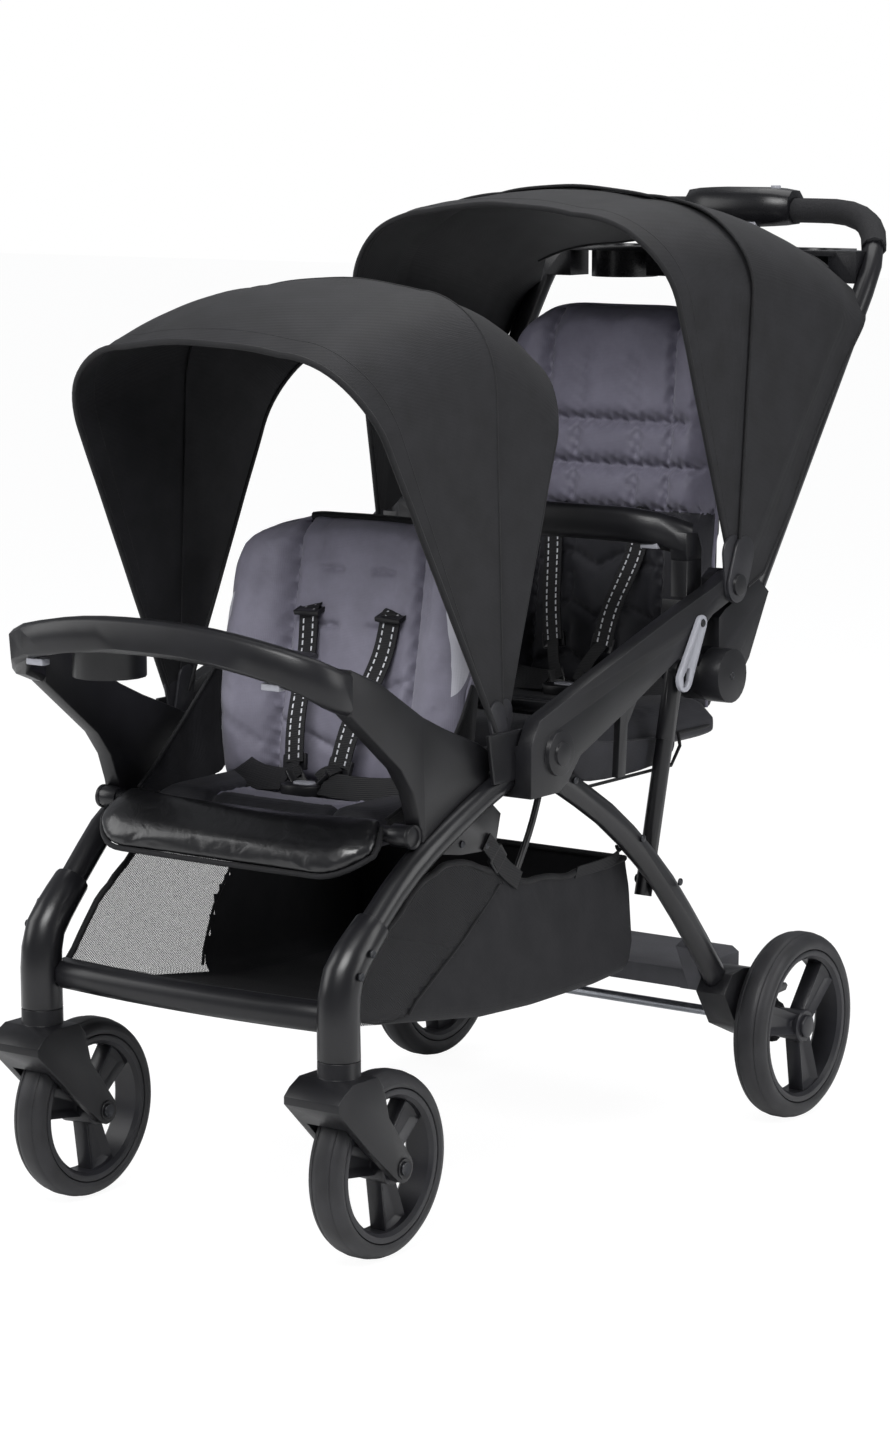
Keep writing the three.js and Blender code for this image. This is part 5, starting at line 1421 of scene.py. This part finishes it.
def shoulder_harness(tag, board, back_body, top, low, buckle, side, sign):
    """One shoulder strap from its slot in the pad, down to the adjuster and on to the buckle."""
    slot_at = board.place(sign * top[0], top[1], top[2])
    start = board.place(sign * top[0], top[1] + 5, top[2] - 14)
    mid = board.place(sign * (top[0] * 0.8 + low[0] * 0.2), top[1] - 46, top[2] + 5)
    end = at(sign * low[0], low[1], low[2])
    path = smooth_path([start, slot_at, mid, slot_at.lerp(end, 0.72) + board.out * 0.004, end], 34)
    wide = Vector((1, 0, -0.25 * sign))
    body = strap(f"{tag}_strap_{side}", path, 25, wide)
    dashes = stitches(f"{tag}_strap_stitches_{side}", path[5:-1], wide, board.out)
    keeper_at = slot_at + board.out * 0.001
    moulded_block(
        f"{tag}_strap_keeper_{side}", keeper_at, (33, 17, 6), path[8] - path[3], board.out, back_body
    )
    down = path[-1] - path[-4]
    moulded_block(f"{tag}_adjuster_{side}", end, (30, 18, 6), down, board.out, "frame", 5, 2.2)
    goal = at(sign * 14, buckle[0] + 6, buckle[1] + 4)
    tail = smooth_path([end, end.lerp(goal, 0.5) + Vector((0, -0.004, 0.002)), goal], 10)
    strap(f"{tag}_tail_{side}", tail, 15, wide, "frame")
    down = tail[-1] - tail[-3]
    moulded_block(f"{tag}_tongue_{side}", goal, (18, 26, 5), down, (0, -0.3, 1), "frame", 4, 1.5)
    for piece in (body, dashes):
        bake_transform(piece)


def waist_belt(tag, points, side, sign):
    path = smooth_path([at(sign * x, y, z) for x, y, z in points], 26)
    strap(f"{tag}_waist_belt_{side}", path, 32, (0, 0.78, 0.62), "frame", thickness=2.0)


# %% Front and rear harness
FRONT_BELT = ((134, 192, 446), (112, 172, 446), (84, 156, 444), (52, 142, 445), (24, 137, 448))
REAR_BELT = ((134, 686, 494), (112, 664, 494), (84, 648, 492), (52, 632, 493), (24, 628, 495))
for tag, board, top, low, buckle, belt in (
    ("front", front_board, (54, 186, 26), (30, 157, 463), (136, 446), FRONT_BELT),
    ("rear", rear_board, (62, 228, 34), (34, 653, 538), (627, 492), REAR_BELT),
):
    for side, sign in SIDES:
        shoulder_harness(tag, board, f"{tag}_back", top, low, buckle, side, sign)
        waist_belt(tag, belt, side, sign)

# %% [markdown]
# Cloth gussets close the sides of the front seat: from the corner of the calf rest up behind
# the tray arm to the back rest. The front edge is piped and hangs slightly slack, so a few
# folds run from corner to corner.

# %% Side gussets
GUSSET_FRONT = [(163, 60, 436), (170, 92, 452), (174, 128, 478), (174, 168, 514), (168, 204, 556)]
GUSSET_BACK = [(156, 70, 428), (158, 120, 430), (160, 170, 432), (160, 206, 448), (160, 226, 548)]
front_line, back_line = (smooth_path([Vector(p) for p in line], 25) for line in (GUSSET_FRONT, GUSSET_BACK))
for side, sign in SIDES:
    rows = []
    for i, (a, b) in enumerate(zip(front_line, back_line)):
        row = []
        for k in range(13):
            w = k / 12
            p = a.lerp(b, w)
            slack = math.sin(math.pi * w) * math.sin(math.pi * i / 24)
            p.x += 5.0 * slack + 2.6 * math.sin(i * 0.9 + w * 5.0) * slack
            row.append(at(sign * min(p.x, 184.5), p.y, p.z))
        rows.append(row)
    gusset = grid_mesh(f"front_seat_gusset_{side}", rows)
    outward(gusset)
    thicken(gusset, 1.4)
    smooth(gusset, 60)
    dressed(gusset, basket_cloth, "frame")
    edge = [at(sign * p.x, p.y, p.z) for p in front_line]
    piping(f"front_seat_gusset_piping_{side}", edge, 2.2, "frame")

# %% [markdown]
# The basket hangs from the frame on straps and a thin rod: a strap with a small buckle from
# the gusset plate to the rim, a loop from the rear leg, and a rod down from the rail.

# %% Basket hangers
FRONT_STRAP = ((191.4, 196, 396), (190.5, 214, 380), (189, 232, 362), (187.5, 262, 343))
REAR_STRAP = ((190, 452, 352), (191, 448, 342), (189.5, 425, 336), (187.6, 370, 334))
ROD = ((183, 310, 441), (183, 290, 396), (183, 262, 352))
for side, sign in SIDES:
    front, rear, rod = (
        smooth_path([at(sign * x, y, z) for x, y, z in points], count)
        for points, count in ((FRONT_STRAP, 12), (REAR_STRAP, 14), (ROD, 8))
    )
    strap(f"basket_front_strap_{side}", front, 20, (0, 0.75, 0.66), "frame")
    name = f"basket_strap_buckle_{side}"
    moulded_block(name, front[5], (26, 20, 6), front[6] - front[4], (sign, 0, 0), "frame", 4, 1.6)
    strap(f"basket_rear_strap_{side}", rear, 14, (sign * 0.3, 0, 1), "frame")
    cord_mesh(f"basket_rod_{side}", rod, 0.0037, painted_tube, "frame", sides=14)

# %% [markdown]
# Each tip of the front canopy is covered by a moulded holder that clips over the pin. It is
# wider at the top, with a bevelled rim and a sunk face.

# %% Canopy holders
for side, sign in SIDES:
    middle = at(sign * 218.9, 190, 488)
    bpy.ops.mesh.primitive_cube_add(size=1, location=middle)
    holder = bpy.context.object
    holder.name = f"front_canopy_holder_{side}"
    bpy.ops.object.transform_apply(location=True)
    for vertex in holder.data.vertices:
        p = vertex.co - middle
        width, height = (0.064, 0.026) if p.z > 0 else (0.044, -0.026)
        vertex.co = middle + Vector((p.x * 0.005, p.y * width, height))
    push_face(holder, lambda f: f.normal.x * sign > 0.9, 0.005, (-sign * 0.0016, 0, 0))
    bevelled(holder, 1.3, segments=3)
    smooth(holder)
    dressed(holder, black_plastic, "frame")
